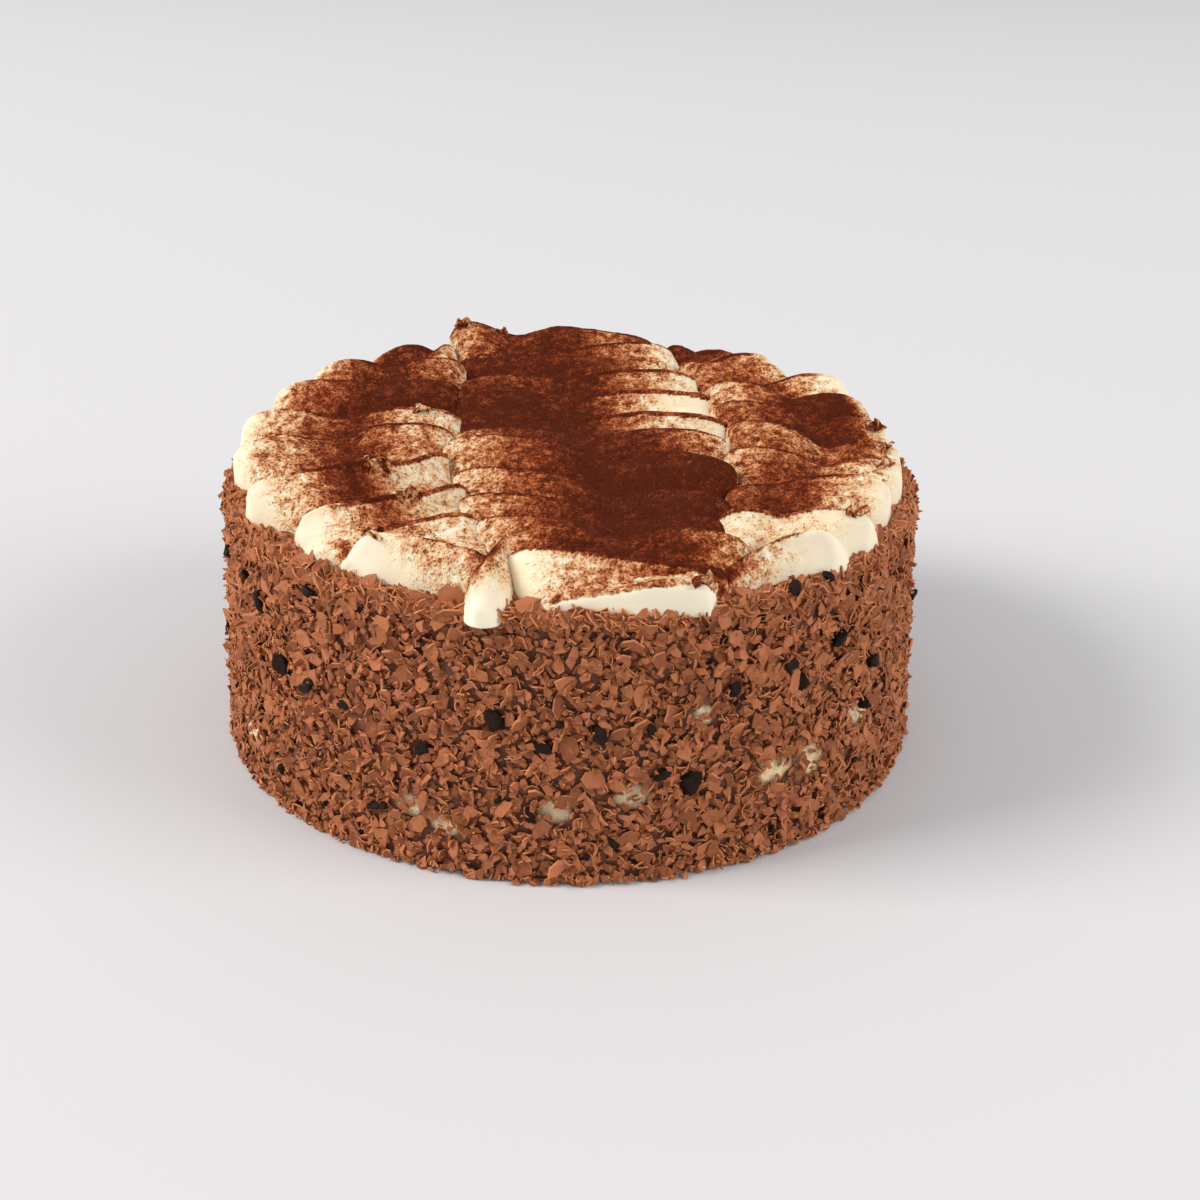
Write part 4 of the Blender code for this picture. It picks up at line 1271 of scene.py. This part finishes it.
def photo_camera():
    """A camera in front of the cake and a little above it, as the photograph was taken."""
    distance = 0.480
    elevation = math.radians(23.6)
    place = Vector((0.0, -math.cos(elevation), math.sin(elevation))) * distance + Vector((0.0, 0.0, 0.045))
    pitch = math.radians(25.05)
    yaw = math.radians(1.13)
    roll = math.radians(1.0)
    forward = Vector((math.sin(yaw) * math.cos(pitch), math.cos(yaw) * math.cos(pitch), -math.sin(pitch)))
    right = forward.cross(Vector((0.0, 0.0, 1.0))).normalized()
    up = right.cross(forward)
    right, up = math.cos(roll) * right + math.sin(roll) * up, math.cos(roll) * up - math.sin(roll) * right
    lens = bpy.data.cameras.new("camera")
    lens.sensor_width = 36.0
    lens.lens = 1650.0 / 1200.0 * lens.sensor_width
    lens.clip_start = 0.01
    camera = bpy.data.objects.new("camera", lens)
    bpy.context.scene.collection.objects.link(camera)
    matrix = Matrix((right, up, -forward)).transposed().to_4x4()
    matrix.translation = place
    camera.matrix_world = matrix
    bpy.context.scene.camera = camera


class CAKE_OT_studio(Operator):
    """Lay a pale floor, light it softly and place the camera"""

    bl_idname = "cake.studio"
    bl_label = "Studio"

    def execute(self, context):
        studio = context.scene.cake_studio
        bm = bmesh.new()
        bmesh.ops.create_circle(bm, cap_ends=True, segments=96, radius=8.0)
        mesh = bpy.data.meshes.new("floor")
        bm.to_mesh(mesh)
        bm.free()
        finish = Finish("floor", {"Roughness": 0.8, "Base Color": (*studio.floor, 1.0)})
        mesh.materials.append(finish.material)
        floor = bpy.data.objects.new("floor", mesh)
        floor.location.z = -0.0002
        context.scene.collection.objects.link(floor)
        target = (0.0, 0.0, 0.05)
        area_light("key_light", (-5.0, -0.7, 3.5), target, (2.6, 2.6), studio.key, (1.0, 0.97, 0.93))
        area_light("fill_light", (4.8, -1.3, 2.8), target, (3.2, 3.2), studio.fill, (1.0, 0.98, 0.96))
        world = bpy.data.worlds.new("surround")
        world.use_nodes = True
        sky = world.node_tree.nodes["Background"]
        sky.inputs["Color"].default_value = (0.93, 0.94, 0.97, 1.0)
        sky.inputs["Strength"].default_value = studio.sky
        context.scene.world = world
        context.scene.view_settings.view_transform = "Standard"
        photo_camera()
        return {"FINISHED"}


class CAKE_PT_cake(Panel):
    """The cake's sizes, colours and pieces"""

    bl_label = "Layer Cake"
    bl_idname = "CAKE_PT_cake"
    bl_space_type = "VIEW_3D"
    bl_region_type = "UI"
    bl_category = "Cake"

    def draw(self, context):
        for settings in (context.scene.cake_coat, context.scene.cake_cream, context.scene.cake_studio):
            box = self.layout.box()
            for name in settings.__annotations__:
                box.prop(settings, name)
        for operator in OPERATORS:
            self.layout.operator(operator.bl_idname)


OPERATORS = (CAKE_OT_studio, CAKE_OT_core, CAKE_OT_coat, CAKE_OT_chunks, CAKE_OT_cream)
CLASSES = (CoatSettings, CreamSettings, StudioSettings, *OPERATORS, CAKE_PT_cake)


def register():
    for item in CLASSES:
        bpy.utils.register_class(item)
    bpy.types.Scene.cake_coat = PointerProperty(type=CoatSettings)
    bpy.types.Scene.cake_cream = PointerProperty(type=CreamSettings)
    bpy.types.Scene.cake_studio = PointerProperty(type=StudioSettings)


def unregister():
    del bpy.types.Scene.cake_studio
    del bpy.types.Scene.cake_cream
    del bpy.types.Scene.cake_coat
    for item in reversed(CLASSES):
        bpy.utils.unregister_class(item)


def main():
    """Build every piece."""
    register()
    bpy.ops.cake.studio()
    bpy.ops.cake.core()
    bpy.ops.cake.coat()
    bpy.ops.cake.chunks()
    bpy.ops.cake.cream()


if __name__ == "__main__":
    main()
